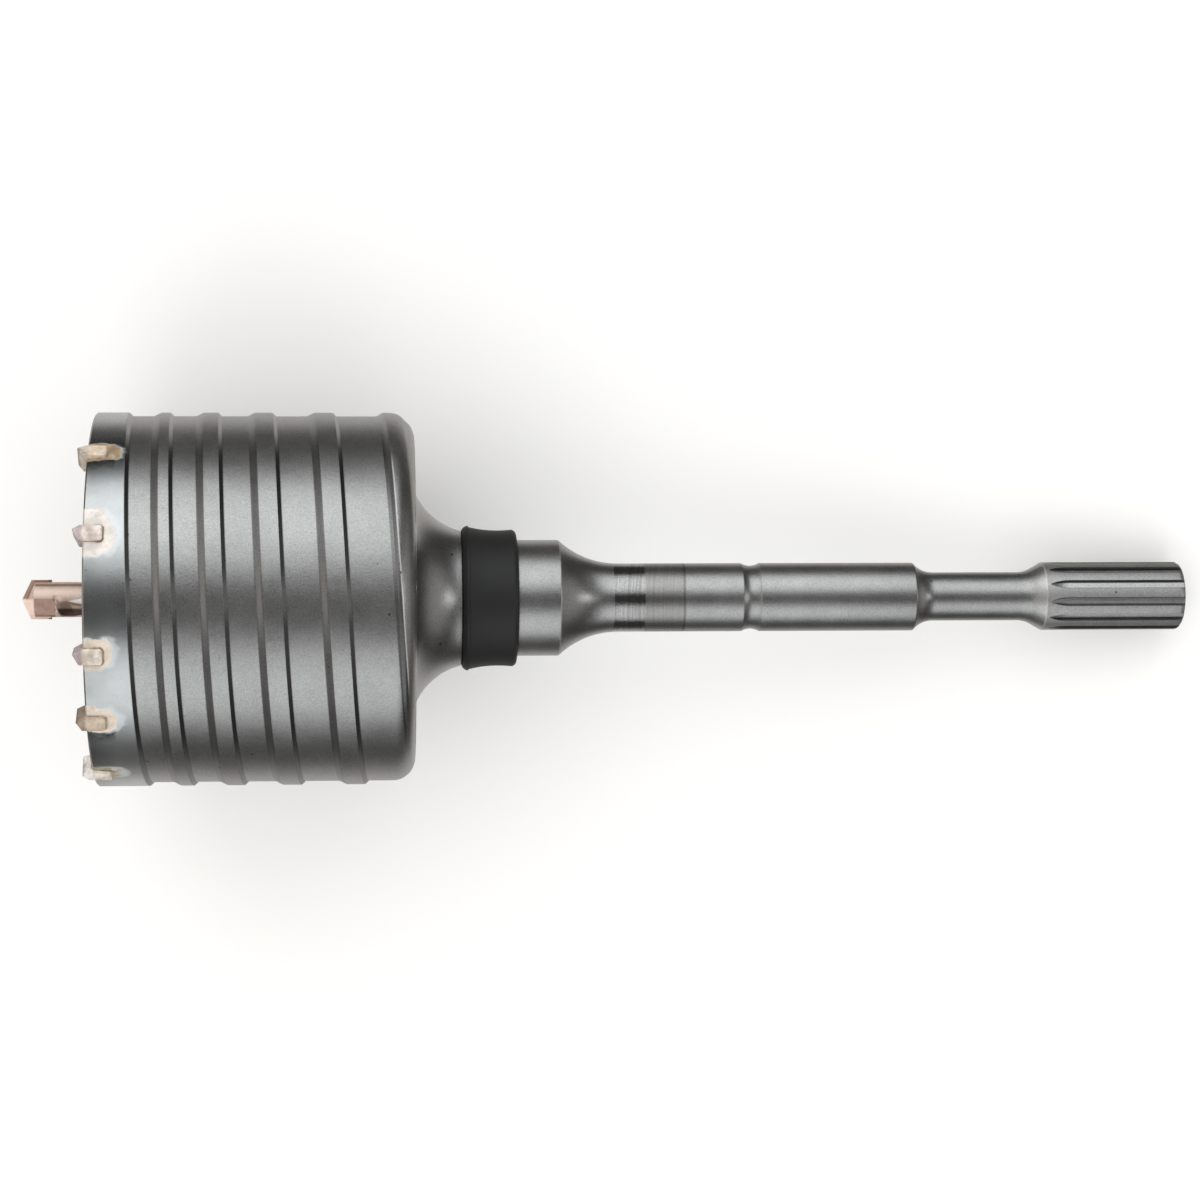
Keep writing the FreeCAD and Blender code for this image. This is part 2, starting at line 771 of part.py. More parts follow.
def check_document():
    """Stop if any object of the document failed to build."""
    for item in doc.Objects:
        if {"Invalid", "Error"} & set(item.State):
            raise RuntimeError(f"{item.Label} did not build: {item.State}")


def main():
    """Build every piece, check it and write it to its own file."""
    lying = rest_placement()
    pieces = []

    ribs = cut_ribs(make_rib_blank())
    slots = []
    for index, letter in enumerate("abcde" * 2, start=1):
        opposite = index > 5
        slots.append(make_slot(f"slot_{index:02d}", letter, opposite))
        pieces.append(make_tooth(f"carbide_tooth_{index:02d}", letter, opposite))
        pieces.append(make_braze_seam(f"braze_seam_{index:02d}", letter, opposite))
    ribbed = fuse("ribbed_forging", [make_forging(), ribs])
    cutter = cut_from(ribbed, fuse("tooth_slots", slots), "cutter_body")
    pieces += [cutter, make_pilot_drill(), make_tip_plate(), make_dust_ring()]
    for piece in pieces:
        place(piece, piece.Name, lying)
    doc.recompute()
    check_document()

    os.makedirs("parts", exist_ok=True)
    for piece in pieces:
        shape = piece.Shape
        if shape.isNull() or not shape.isValid() or len(shape.Solids) != 1:
            raise RuntimeError(f"{piece.Label} is not one valid solid")
        shape.exportStep(f"parts/{piece.Label}.step")
        print(f"{piece.Label}: {shape.Volume:.2f} mm3")


main()
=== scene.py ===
"""Hammer core bit: the finished forging, teeth, braze, pilot drill and dust ring, and its studio.

Shapes are worked out in millimetres on the bit's own axes: X from the cup's rim to the splined
end, and angles in degrees round X, counted from +Z, which faces the camera, towards +Y.
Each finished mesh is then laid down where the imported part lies.
"""
import json
import logging
import math
from dataclasses import dataclass
from enum import Enum
from typing import Any, Iterable, Optional, Union

import bmesh
import bpy
from mathutils import Matrix, Vector


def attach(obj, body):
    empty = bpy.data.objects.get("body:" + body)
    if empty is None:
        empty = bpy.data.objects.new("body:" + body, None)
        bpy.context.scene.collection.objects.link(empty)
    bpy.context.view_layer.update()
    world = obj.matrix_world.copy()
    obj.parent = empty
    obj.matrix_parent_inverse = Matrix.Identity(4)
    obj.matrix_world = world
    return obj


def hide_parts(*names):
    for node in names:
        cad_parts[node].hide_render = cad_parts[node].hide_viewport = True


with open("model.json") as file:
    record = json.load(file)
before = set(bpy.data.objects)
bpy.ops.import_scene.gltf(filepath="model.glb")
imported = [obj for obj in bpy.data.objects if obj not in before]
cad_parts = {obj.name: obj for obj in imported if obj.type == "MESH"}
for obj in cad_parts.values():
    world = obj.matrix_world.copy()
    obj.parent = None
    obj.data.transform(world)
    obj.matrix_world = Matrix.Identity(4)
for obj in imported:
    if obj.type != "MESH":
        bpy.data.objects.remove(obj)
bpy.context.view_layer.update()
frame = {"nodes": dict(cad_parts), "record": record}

LOG = logging.getLogger("core_bit")
PHOTO_SIDE = 1200
COLUMNS = 240
FIRST_COLUMN = 90.0
MERGE = 2e-4
# A point is a place along the axis and a radius, or two sides. A span is where a mask starts and
# where it is full, or what a value runs from and to. A noise is scale, detail and roughness.
# Lumps are depth, scale and seed.
Point = tuple[float, float]
Span = tuple[float, float]
Noise = tuple[float, float, float]
Lumps = tuple[float, float, float]
Colour = tuple[float, float, float]
Value = Union["Term", float, int]


class Modifier(Enum):
    """The modifiers that make and finish the pieces."""

    SHAPE = "NODES"
    BEVEL = "BEVEL"
    DIVIDE = "SUBSURF"
    CUT = "BOOLEAN"


class Term:
    """A node's output, on which a sum is written as a Python expression."""

    def __init__(self, graph: "Graph", socket: bpy.types.NodeSocket) -> None:
        """Keep the graph that adds nodes, and the socket."""
        self.graph = graph
        self.socket = socket

    def __add__(self, other: Value) -> "Term":
        """Add."""
        return self.graph.math("ADD", self, other)

    def __radd__(self, other: Value) -> "Term":
        """Add, from the right."""
        return self.graph.math("ADD", other, self)

    def __sub__(self, other: Value) -> "Term":
        """Subtract."""
        return self.graph.math("SUBTRACT", self, other)

    def __rsub__(self, other: Value) -> "Term":
        """Subtract from a value."""
        return self.graph.math("SUBTRACT", other, self)

    def __mul__(self, other: Value) -> "Term":
        """Multiply."""
        return self.graph.math("MULTIPLY", self, other)

    def __rmul__(self, other: Value) -> "Term":
        """Multiply, from the right."""
        return self.graph.math("MULTIPLY", other, self)

    def __truediv__(self, other: Value) -> "Term":
        """Divide."""
        return self.graph.math("DIVIDE", self, other)

    def __mod__(self, other: Value) -> "Term":
        """Take the rest of a division, never negative."""
        return self.graph.math("FLOORED_MODULO", self, other)

    def __abs__(self) -> "Term":
        """Drop the sign."""
        return self.graph.math("ABSOLUTE", self)


class Graph:
    """Adds nodes to a node tree."""

    def __init__(self, tree: bpy.types.NodeTree) -> None:
        """Keep the tree."""
        self.tree = tree

    def node(self, kind: str, settings: Optional[dict[str, Any]] = None,
             inputs: Optional[dict[Any, Any]] = None) -> bpy.types.Node:
        """Make a node.

        Args:
            kind: The node's type name.
            settings: Properties, set first.
            inputs: Values or terms, by the socket's name or number.

        Returns:
            The new node.
        """
        node = self.tree.nodes.new(kind)
        for name, value in (settings or {}).items():
            setattr(node, name, value)
        for name, value in (inputs or {}).items():
            self.link(value, node.inputs[name])
        return node

    def link(self, value: Any, socket: bpy.types.NodeSocket) -> None:
        """Link a term to a socket, or write a plain value into it.

        Args:
            value: A term, or a plain value.
            socket: The input that gets it.
        """
        if isinstance(value, Term):
            self.tree.links.new(value.socket, socket)
        else:
            socket.default_value = value

    def term(self, kind: str, settings: Optional[dict[str, Any]] = None,
             inputs: Optional[dict[Any, Any]] = None, output: Union[int, str] = 0) -> Term:
        """Make a node and hand back one of its outputs."""
        return Term(self, self.node(kind, settings, inputs).outputs[output])

    def math(self, operation: str, *values: Value) -> Term:
        """Add a Math node."""
        return self.term("ShaderNodeMath", {"operation": operation}, dict(enumerate(values)))

    def ramp(self, value: Value, low: Value, high: Value, start: Value = 0.0, end: Value = 1.0,
             smooth: bool = False) -> Term:
        """Map a value from one span to another and hold it at both ends.

        Args:
            value: What is mapped.
            low: Where the mapping starts.
            high: Where it ends.
            start: The result at its start.
            end: The result at its end.
            smooth: Whether the result eases in and out.

        Returns:
            The mapped value.
        """
        kind = "SMOOTHSTEP" if smooth else "LINEAR"
        names = {"Value": value, "From Min": low, "From Max": high, "To Min": start, "To Max": end}
        return self.term("ShaderNodeMapRange", {"interpolation_type": kind, "clamp": True}, names)

    def between(self, value: Value, rise: tuple[Value, Value], fall: tuple[Value, Value]) -> Term:
        """Mask what lies between two spans, over which the mask comes and goes."""
        return self.ramp(value, *rise) * self.ramp(value, *fall)

    def dot(self, vector: Term, axis: Iterable[float]) -> Term:
        """Measure a vector along an axis."""
        settings = {"operation": "DOT_PRODUCT"}
        return self.term("ShaderNodeVectorMath", settings, {0: vector, 1: tuple(axis)}, "Value")

    def steps(self, value: Value, start: Value, spans: Iterable[tuple[int, Value]]) -> Term:
        """Add up spans that each take a number of steps, so that points gather where needed.

        Args:
            value: Number of the step.
            start: The sum before the first step.
            spans: Number of steps and length of each span.

        Returns:
            The sum at each step.
        """
        total = start
        first = 0
        for count, length in spans:
            total = self.ramp(value, first, first + count) * length + total
            first += count
        return total

    def soft_min(self, first: Value, second: Value, width: float) -> Term:
        """Take the smaller value with a rounded change-over."""
        return self.math("SMOOTH_MIN", first, second, width)

    def soft_max(self, first: Value, second: Value, width: float) -> Term:
        """Take the larger value with a rounded change-over."""
        return self.math("SMOOTH_MAX", first, second, width)

    def mix(self, share: Value, first: Value, second: Value) -> Term:
        """Blend two numbers."""
        inputs = {"Factor": share, 2: first, 3: second}
        return self.term("ShaderNodeMix", {"data_type": "FLOAT"}, inputs)


class ShapeGraph(Graph):
    """A Geometry Nodes tree with named sizes, and the mesh that it makes."""

    def __init__(self, name: str) -> None:
        """Start a tree with one geometry output.

        Args:
            name: The tree's name.
        """
        super().__init__(bpy.data.node_groups.new(name, "GeometryNodeTree"))
        self.tree.interface.new_socket("Geometry", in_out="OUTPUT", socket_type="NodeSocketGeometry")
        self.entry = self.tree.nodes.new("NodeGroupInput")
        self.values: dict[str, Any] = {}

    def size(self, name: str, value: float) -> Term:
        """Add a named size as an input of the tree.

        Args:
            name: The size's name.
            value: What the modifier sets it to.

        Returns:
            The size.
        """
        socket = self.tree.interface.new_socket(name, in_out="INPUT", socket_type="NodeSocketFloat")
        self.values[socket.identifier] = value
        return Term(self, self.entry.outputs[name])

    def source(self, name: str, value: bpy.types.Object) -> Term:
        """Add an object as an input and read its geometry.

        Args:
            name: The input's name.
            value: The object.

        Returns:
            The object's geometry.
        """
        socket = self.tree.interface.new_socket(name, in_out="INPUT", socket_type="NodeSocketObject")
        self.values[socket.identifier] = value
        return self.term("GeometryNodeObjectInfo", None, {"Object": Term(self, self.entry.outputs[name])},
                         "Geometry")

    def sheet(self, stations: int, columns: int) -> tuple[Term, Term, Term]:
        """Make a grid.

        Args:
            stations: Number of points along the bit.
            columns: Number of steps round it.

        Returns:
            The grid, and each point's station and column.
        """
        grid = self.term("GeometryNodeMeshGrid", None, {"Vertices X": stations, "Vertices Y": columns + 1})
        index = self.term("GeometryNodeInputIndex")
        station = self.math("FLOOR", (index + 0.5) / (columns + 1))
        return grid, station, index - station * (columns + 1)

    def placed(self, geometry: Term, along: Value, out: Value, angle: Value) -> Term:
        """Move each point to its place along the axis, its radius and its angle in radians.

        Args:
            geometry: The points.
            along: Their places along the axis.
            out: Their radii.
            angle: Their angles.

        Returns:
            The moved geometry.
        """
        place = {0: along, 1: out * self.math("SINE", angle), 2: out * self.math("COSINE", angle)}
        position = self.term("ShaderNodeCombineXYZ", None, place)
        return self.term("GeometryNodeSetPosition", None, {"Geometry": geometry, "Position": position})

    def turned(self, grid: Term, place: tuple[Value, Value, Value], name: str,
               material: bpy.types.Material) -> bpy.types.Mesh:
        """Wrap a grid round the axis, merge the points that meet and end the tree."""
        inputs = {"Geometry": self.placed(grid, *place), "Distance": MERGE}
        return self.mesh(self.term("GeometryNodeMergeByDistance", None, inputs), name, material)

    def roughened(self, geometry: Term, depth: float, scale: float, seed: float) -> Term:
        """Push points in and out along their normals by fine noise.

        Args:
            geometry: The surface.
            depth: How far points move at most.
            scale: Number of lumps to a millimetre.
            seed: Seed of the noise.

        Returns:
            The roughened geometry.
        """
        position = self.term("GeometryNodeInputPosition")
        settings = {"noise_dimensions": "4D"}
        noise = self.term("ShaderNodeTexNoise", settings, {"Vector": position, "W": seed, "Scale": scale})
        normal = self.term("GeometryNodeInputNormal")
        offset = self.term("ShaderNodeVectorMath", {"operation": "SCALE"},
                           {0: normal, "Scale": (noise - 0.5) * (2 * depth)})
        return self.term("GeometryNodeSetPosition", None, {"Geometry": geometry, "Offset": offset})

    def mesh(self, geometry: Term, name: str, material: bpy.types.Material) -> bpy.types.Mesh:
        """End the tree and turn what it makes into a plain mesh.

        Args:
            geometry: What the tree has made.
            name: The mesh's name.
            material: The finish set on all of it.

        Returns:
            The mesh.
        """
        real = self.term("GeometryNodeRealizeInstances", None, {"Geometry": geometry})
        ended = self.term("GeometryNodeSetMaterial", None, {"Geometry": real, "Material": material})
        self.link(ended, self.tree.nodes.new("NodeGroupOutput").inputs[0])
        carrier = new_object(name, bpy.data.meshes.new(name))
        modifier = carrier.modifiers.new(name, Modifier.SHAPE.value)
        modifier.node_group = self.tree
        for identifier, value in self.values.items():
            modifier[identifier] = value
        return plain_mesh(carrier)


def new_object(name: str, data: Any) -> bpy.types.Object:
    """Put an object with this data in the scene.

    Args:
        name: The object's name.
        data: Its mesh, curve, light or camera.

    Returns:
        The object.
    """
    item = bpy.data.objects.new(name, data)
    bpy.context.scene.collection.objects.link(item)
    return item


def plain_mesh(carrier: bpy.types.Object) -> bpy.types.Mesh:
    """Turn what an object's modifiers make into a plain mesh, and remove the object.

    Args:
        carrier: The object with the modifiers.

    Returns:
        The mesh.
    """
    depsgraph = bpy.context.evaluated_depsgraph_get()
    result = bpy.data.meshes.new_from_object(carrier.evaluated_get(depsgraph))
    bpy.data.objects.remove(carrier)
    return result


def mesh_from(shape: bmesh.types.BMesh, name: str) -> bpy.types.Mesh:
    """Write an edited mesh out and free it.

    Args:
        shape: The edited mesh.
        name: The new mesh's name.

    Returns:
        The mesh.
    """
    mesh = bpy.data.meshes.new(name)
    shape.to_mesh(mesh)
    shape.free()
    return mesh


def smoothed(mesh: bpy.types.Mesh, angle: float) -> None:
    """Shade smooth, apart from edges sharper than an angle in degrees."""
    mesh.shade_smooth()
    mesh.set_sharp_from_angle(angle=math.radians(angle))


class Outline:
    """A turned outline, drawn point by point as places along the axis and radii."""

    def __init__(self, along: float, out: float) -> None:
        """Start at a point."""
        self.points: list[tuple[float, float, float]] = [(along, out, 0.0)]

    def to(self, along: float, out: float, rounding: float = 0.0) -> "Outline":
        """Draw a line to a corner that is rounded over this distance."""
        self.points.append((along, out, rounding))
        return self

    def arc(self, along: float, out: float, centre: Point, steps: int,
            rounding: float = 0.0) -> "Outline":
        """Draw an arc about a centre to a point.

        Args:
            along: Where the arc ends along the axis.
            out: The radius where it ends.
            centre: Its centre.
            steps: Number of straight steps.
            rounding: Distance over which its end is rounded.

        Returns:
            The outline.
        """
        start_along, start_out, _ = self.points[-1]
        start = math.atan2(start_out - centre[1], start_along - centre[0])
        end = math.atan2(out - centre[1], along - centre[0])
        sweep = (end - start + math.pi) % (2 * math.pi) - math.pi
        radius = math.hypot(along - centre[0], out - centre[1])
        for step in range(1, steps):
            angle = start + sweep * step / steps
            place = (centre[0] + radius * math.cos(angle), centre[1] + radius * math.sin(angle))
            self.points.append((*place, 0.0))
        self.points.append((along, out, rounding))
        return self

    def softened(self) -> list[Point]:
        """List the outline's points with its rounded corners worked out.

        Returns:
            Places along the axis and radii.
        """
        result: list[Point] = []
        for index, (along, out, rounding) in enumerate(self.points):
            if not rounding:
                result.append((along, out))
                continue
            corner = Vector((along, out))
            before = Vector(self.points[index - 1][:2]) - corner
            after = Vector(self.points[index + 1][:2]) - corner
            first = corner + before.normalized() * min(rounding, before.length / 2)
            last = corner + after.normalized() * min(rounding, after.length / 2)
            for share in (0.0, 0.25, 0.5, 0.75, 1.0):
                near = first.lerp(corner, share)
                far = corner.lerp(last, share)
                result.append(tuple(near.lerp(far, share)))
        return result


def lathed(outline: list[Point], columns: int) -> bpy.types.Mesh:
    """Turn an outline round the axis.

    Args:
        outline: Places along the axis and radii, in millimetres.
        columns: Number of steps round the axis.

    Returns:
        The turned mesh, open where the outline is.
    """
    shape = bmesh.new()
    rings = []
    for along, out in outline:
        ring = []
        for column in range(columns):
            angle = math.radians(FIRST_COLUMN - 360 * column / columns)
            ring.append(shape.verts.new((along, out * math.sin(angle), out * math.cos(angle))))
        rings.append(ring)
    for near, far in zip(rings, rings[1:]):
        for column in range(columns):
            following = (column + 1) % columns
            shape.faces.new((near[column], near[following], far[following], far[column]))
    bmesh.ops.remove_doubles(shape, verts=shape.verts, dist=MERGE / 2)
    return mesh_from(shape, "turned")


def joined(name: str, meshes: Iterable[bpy.types.Mesh], merge: float) -> bpy.types.Mesh:
    """Join meshes, merge the points where they meet and turn their faces outwards.

    Args:
        name: The new mesh's name.
        meshes: What is joined.
        merge: Distance at which points merge.

    Returns:
        The joined mesh.
    """
    shape = bmesh.new()
    for mesh in meshes:
        shape.from_mesh(mesh)
    bmesh.ops.remove_doubles(shape, verts=shape.verts, dist=merge)
    bmesh.ops.dissolve_degenerate(shape, edges=shape.edges, dist=merge / 10)
    bmesh.ops.recalc_face_normals(shape, faces=shape.faces)
    return mesh_from(shape, name)


def prism(outline: list[Point], low: float, high: float, name: str) -> bpy.types.Mesh:
    """Raise an outline in X and Y from one height to another.

    Args:
        outline: The outline's points.
        low: The floor's height.
        high: The top's height.
        name: The mesh's name.

    Returns:
        The prism.
    """
    shape = bmesh.new()
    floor = [shape.verts.new((x, y, low)) for x, y in outline]
    face = shape.faces.new(floor)
    raised = bmesh.ops.extrude_face_region(shape, geom=[face])["geom"]
    corners = [item for item in raised if isinstance(item, bmesh.types.BMVert)]
    bmesh.ops.translate(shape, verts=corners, vec=(0, 0, high - low))
    bmesh.ops.recalc_face_normals(shape, faces=shape.faces)
    return mesh_from(shape, name)


def rounded_block(front: list[Point], length: float, half: float, corner: float) -> list[Point]:
    """Outline a block that lies in a rim slot, with its two back corners rounded.

    Args:
        front: Points of the front end.
        length: Place of the back end.
        half: Half the width.
        corner: Radius of the back corners.

    Returns:
        The outline.
    """
    points = list(front)
    for side, angles in ((-1, (-90, -60, -30, 0)), (1, (0, 30, 60, 90))):
        for angle in angles:
            turn = math.radians(angle)
            along = length - corner + corner * math.cos(turn)
            points.append((along, side * (half - corner) + corner * math.sin(turn)))
    return points


def finished(mesh: bpy.types.Mesh, bevel: float, segments: int, levels: int) -> bpy.types.Mesh:
    """Bevel a mesh's edges and divide its faces evenly.

    Args:
        mesh: The plain mesh.
        bevel: Width of the bevel.
        segments: Its steps.
        levels: How often each face is divided.

    Returns:
        The finished mesh.
    """
    carrier = new_object("carrier", mesh)
    edge = carrier.modifiers.new("bevel", Modifier.BEVEL.value)
    edge.width = bevel
    edge.segments = segments
    edge.limit_method = "ANGLE"
    finer = carrier.modifiers.new("divide", Modifier.DIVIDE.value)
    finer.subdivision_type = "SIMPLE"
    finer.levels = levels
    finer.render_levels = levels
    return plain_mesh(carrier)


def cut_away(mesh: bpy.types.Mesh, cutters: bpy.types.Mesh) -> bpy.types.Mesh:
    """Cut one closed mesh out of another.

    Args:
        mesh: What is cut.
        cutters: What is taken away.

    Returns:
        What is left.
    """
    base = new_object("base", mesh)
    tool = new_object("tool", cutters)
    cut = base.modifiers.new("cut", Modifier.CUT.value)
    cut.operation = "DIFFERENCE"
    cut.solver = "EXACT"
    cut.object = tool
    result = plain_mesh(base)
    bpy.data.objects.remove(tool)
    return result


@dataclass(frozen=True)
class Lie:
    """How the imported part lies: the change from the bit's own millimetres to the frame."""

    to_world: Matrix

    @classmethod
    def of_frame(cls, bit_end: float, roll: float) -> "Lie":
        """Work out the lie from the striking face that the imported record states.

        Args:
            bit_end: Place of the striking face along the bit, in millimetres.
            roll: Angle that the bit has rolled through, in degrees.

        Returns:
            The lie.
        """
        mounts = frame["record"]["mounts"]
        face = next(mount for mount in mounts if mount["name"] == "striking_face")
        axis = Vector(face["axis"])
        tilt = math.atan2(-axis.z, axis.x)
        turned = Matrix.Rotation(tilt, 4, "Y") @ Matrix.Rotation(-math.radians(roll), 4, "X")
        scaled = turned @ Matrix.Scale(0.001, 4)
        return cls(Matrix.Translation(face["pos_m"]) @ scaled @ Matrix.Translation((-bit_end, 0, 0)))

    def piece(self, name: str, mesh: bpy.types.Mesh, finish: bpy.types.Material,
              nodes: Iterable[str]) -> None:
        """Lay a mesh down as a finished piece that stands for some nodes.

        Args:
            name: The piece's name.
            mesh: Its mesh, in the bit's own millimetres.
            finish: Its material.
            nodes: The nodes that it replaces.
        """
        mesh.name = name
        mesh.transform(self.to_world)
        mesh.materials.clear()
        mesh.materials.append(finish)
        item = new_object(name, mesh)
        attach(item, "root")
        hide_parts(*nodes)
        LOG.info("%s: %d faces", name, len(mesh.polygons))

    @staticmethod
    def coat(node: str, finish: bpy.types.Material) -> None:
        """Give a node that stays as the CAD part has it a finish of its own.

        Args:
            node: The node's name.
            finish: Its new material.
        """
        materials = frame["nodes"][node].data.materials
        materials.clear()
        materials.append(finish)
        LOG.info("%s: finished as %s", node, finish.name)


class Surface(Graph):
    """A material's node tree, with the bit's own coordinates in millimetres."""

    def __init__(self, name: str, lie: Lie) -> None:
        """Start a material with one principled shader.

        Args:
            name: The material's name.
            lie: How the bit lies.
        """
        self.material = bpy.data.materials.new(name)
        self.material.use_nodes = True
        super().__init__(self.material.node_tree)
        self.shader = self.tree.nodes["Principled BSDF"]
        self.position = self.term("ShaderNodeTexCoord", None, None, "Object")
        rows = lie.to_world.inverted()
        self.along, self.up, self.front = (self.dot(self.position, row[:3]) + row[3] for row in rows[:3])
        self.turn = self.math("ARCTAN2", self.up, self.front)

    def radius(self) -> Term:
        """Distance from the bit's axis."""
        return self.math("SQRT", self.up * self.up + self.front * self.front)

    def tooth_offset(self, angle: float, radius: float) -> Term:
        """Distance in millimetres round the axis from a tooth's middle, or from its twin's.

        Args:
            angle: The tooth's angle, in degrees; its twin stands opposite.
            radius: Radius that the distance is measured on.

        Returns:
            The distance, negative below the middle.
        """
        shifted = (self.turn + (math.pi / 2 - math.radians(angle))) % math.pi
        return (shifted - math.pi / 2) * radius

    def noise(self, scale: float, detail: float = 2.0, roughness: float = 0.5,
              stretch: Optional[tuple[float, float, float]] = None) -> Term:
        """Add noise of so many grains to a metre, stretched along the axes if asked.

        Args:
            scale: Number of grains to a metre.
            detail: Number of finer layers.
            roughness: Strength of the finer layers.
            stretch: Scale along each axis.

        Returns:
            The noise, from 0 to 1.
        """
        vector = self.position
        if stretch:
            vector = self.term("ShaderNodeMapping", None, {"Vector": vector, "Scale": stretch})
        inputs = {"Vector": vector, "Scale": scale, "Detail": detail, "Roughness": roughness}
        return self.term("ShaderNodeTexNoise", None, inputs)

    def tint(self, share: Value, first: Union[Term, Colour], second: Union[Term, Colour]) -> Term:
        """Blend two colours."""
        inputs = {0: share, 6: self._opaque(first), 7: self._opaque(second)}
        return self.term("ShaderNodeMix", {"data_type": "RGBA"}, inputs, 2)

    def shaded(self, colour: Union[Term, Colour], factor: Value) -> Term:
        """Make a colour lighter or darker by a factor.

        Args:
            colour: The colour.
            factor: What it is multiplied by.

        Returns:
            The new colour.
        """
        grey = self.term("ShaderNodeCombineColor", None, {0: factor, 1: factor, 2: factor})
        inputs = {0: 1.0, 6: self._opaque(colour), 7: grey}
        settings = {"data_type": "RGBA", "blend_type": "MULTIPLY"}
        return self.term("ShaderNodeMix", settings, inputs, 2)

    def feed(self, name: str, value: Any) -> None:
        """Set or link one of the shader's sockets."""
        self.link(value, self.shader.inputs[name])

    def bump(self, height: Term, depth: float, strength: float = 1.0) -> None:
        """Feed the shader's normal with a bump of this depth in metres."""
        inputs = {"Height": height, "Distance": depth, "Strength": strength}
        self.feed("Normal", self.term("ShaderNodeBump", None, inputs))

    @staticmethod
    def _opaque(colour: Union[Term, Colour]) -> Union[Term, tuple]:
        """Give a plain colour the fourth value that a socket takes."""
        return colour if isinstance(colour, Term) else (*colour, 1.0)


@dataclass(frozen=True)
class Tooth:
    """One tooth's place round the rim, and what the brazing has left on it and round it.

    The braze film reaches above, below and beyond the tooth by so many millimetres, and its pale
    fringe reaches further by the fringe. Scorch is how burnt the steel below is, cover how dense
    the film is.
    """

    angle: float
    face: Colour
    tip: Colour
    film: Colour
    above: float
    below: float
    beyond: float
    fringe: float
    scorch: float
    cover: float


@dataclass(frozen=True)
class ToothRing:
    """Where the teeth sit: five of them over half the rim, and the same again opposite."""

    teeth: tuple[Tooth, ...] = (
        Tooth(angle=48.7, face=(0.70, 0.58, 0.47), tip=(0.62, 0.55, 0.47), film=(0.30, 0.20, 0.10),
              above=2.2, below=1.2, beyond=3.9, fringe=0.8, scorch=1.0, cover=0.95),
        Tooth(angle=19.4, face=(0.78, 0.70, 0.65), tip=(0.52, 0.44, 0.42), film=(0.73, 0.69, 0.655),
              above=5.3, below=4.6, beyond=2.9, fringe=1.6, scorch=0.0, cover=1.0),
        Tooth(angle=-16.8, face=(0.80, 0.72, 0.64), tip=(0.44, 0.36, 0.36), film=(0.66, 0.56, 0.46),
              above=3.3, below=1.8, beyond=2.6, fringe=1.5, scorch=0.1, cover=0.92),
        Tooth(angle=-39.0, face=(0.56, 0.46, 0.36), tip=(0.33, 0.26, 0.20), film=(0.74, 0.64, 0.56),
              above=3.7, below=1.9, beyond=2.8, fringe=1.8, scorch=1.0, cover=0.95),
        Tooth(angle=-65.5, face=(0.90, 0.83, 0.74), tip=(0.93, 0.88, 0.84), film=(0.25, 0.21, 0.14),
              above=2.2, below=1.0, beyond=3.2, fringe=2.0, scorch=0.2, cover=0.85),
    )
    slot_depth: float = 5.3
    slot_half: float = 2.3
    slot_corner: float = 0.9
    tooth_seat: float = 5.1
    tooth_half: float = 2.1
    tooth_corner: float = 0.7
    tooth_reach: float = 2.7
    tooth_ridge: float = 0.9
    leading_drop: float = 2.1
    trailing_drop: float = 1.6
    outside: float = 52.5
    inside: float = 46.7

    def repeated(self, graph: ShapeGraph, shape: Term) -> Term:
        """Repeat a shape at every tooth's place, over both halves of the rim.

        Args:
            graph: The tree that repeats it.
            shape: The shape at angle 0.

        Returns:
            All the copies, as one geometry.
        """
        count = len(self.teeth)
        named = [graph.size(f"Tooth angle {index + 1}", math.radians(tooth.angle))
                 for index, tooth in enumerate(self.teeth)]
        index = graph.term("GeometryNodeInputIndex")
        turn = graph.math("GREATER_THAN", index, count - 0.5) * math.pi
        for number, angle in enumerate(named):
            turn = graph.math("COMPARE", index % count, number, 0.1) * angle + turn
        points = graph.term("GeometryNodePoints", None, {"Count": 2 * count})
        rotation = graph.term("ShaderNodeCombineXYZ", None, {0: turn * -1.0})
        inputs = {"Points": points, "Instance": shape, "Rotation": rotation}
        copies = graph.term("GeometryNodeInstanceOnPoints", None, inputs)
        return graph.term("GeometryNodeRealizeInstances", None, {"Geometry": copies})

    def names(self, stem: str) -> list[str]:
        """List the ten nodes of one kind of piece."""
        return [f"{stem}_{number:02d}" for number in range(1, 2 * len(self.teeth) + 1)]


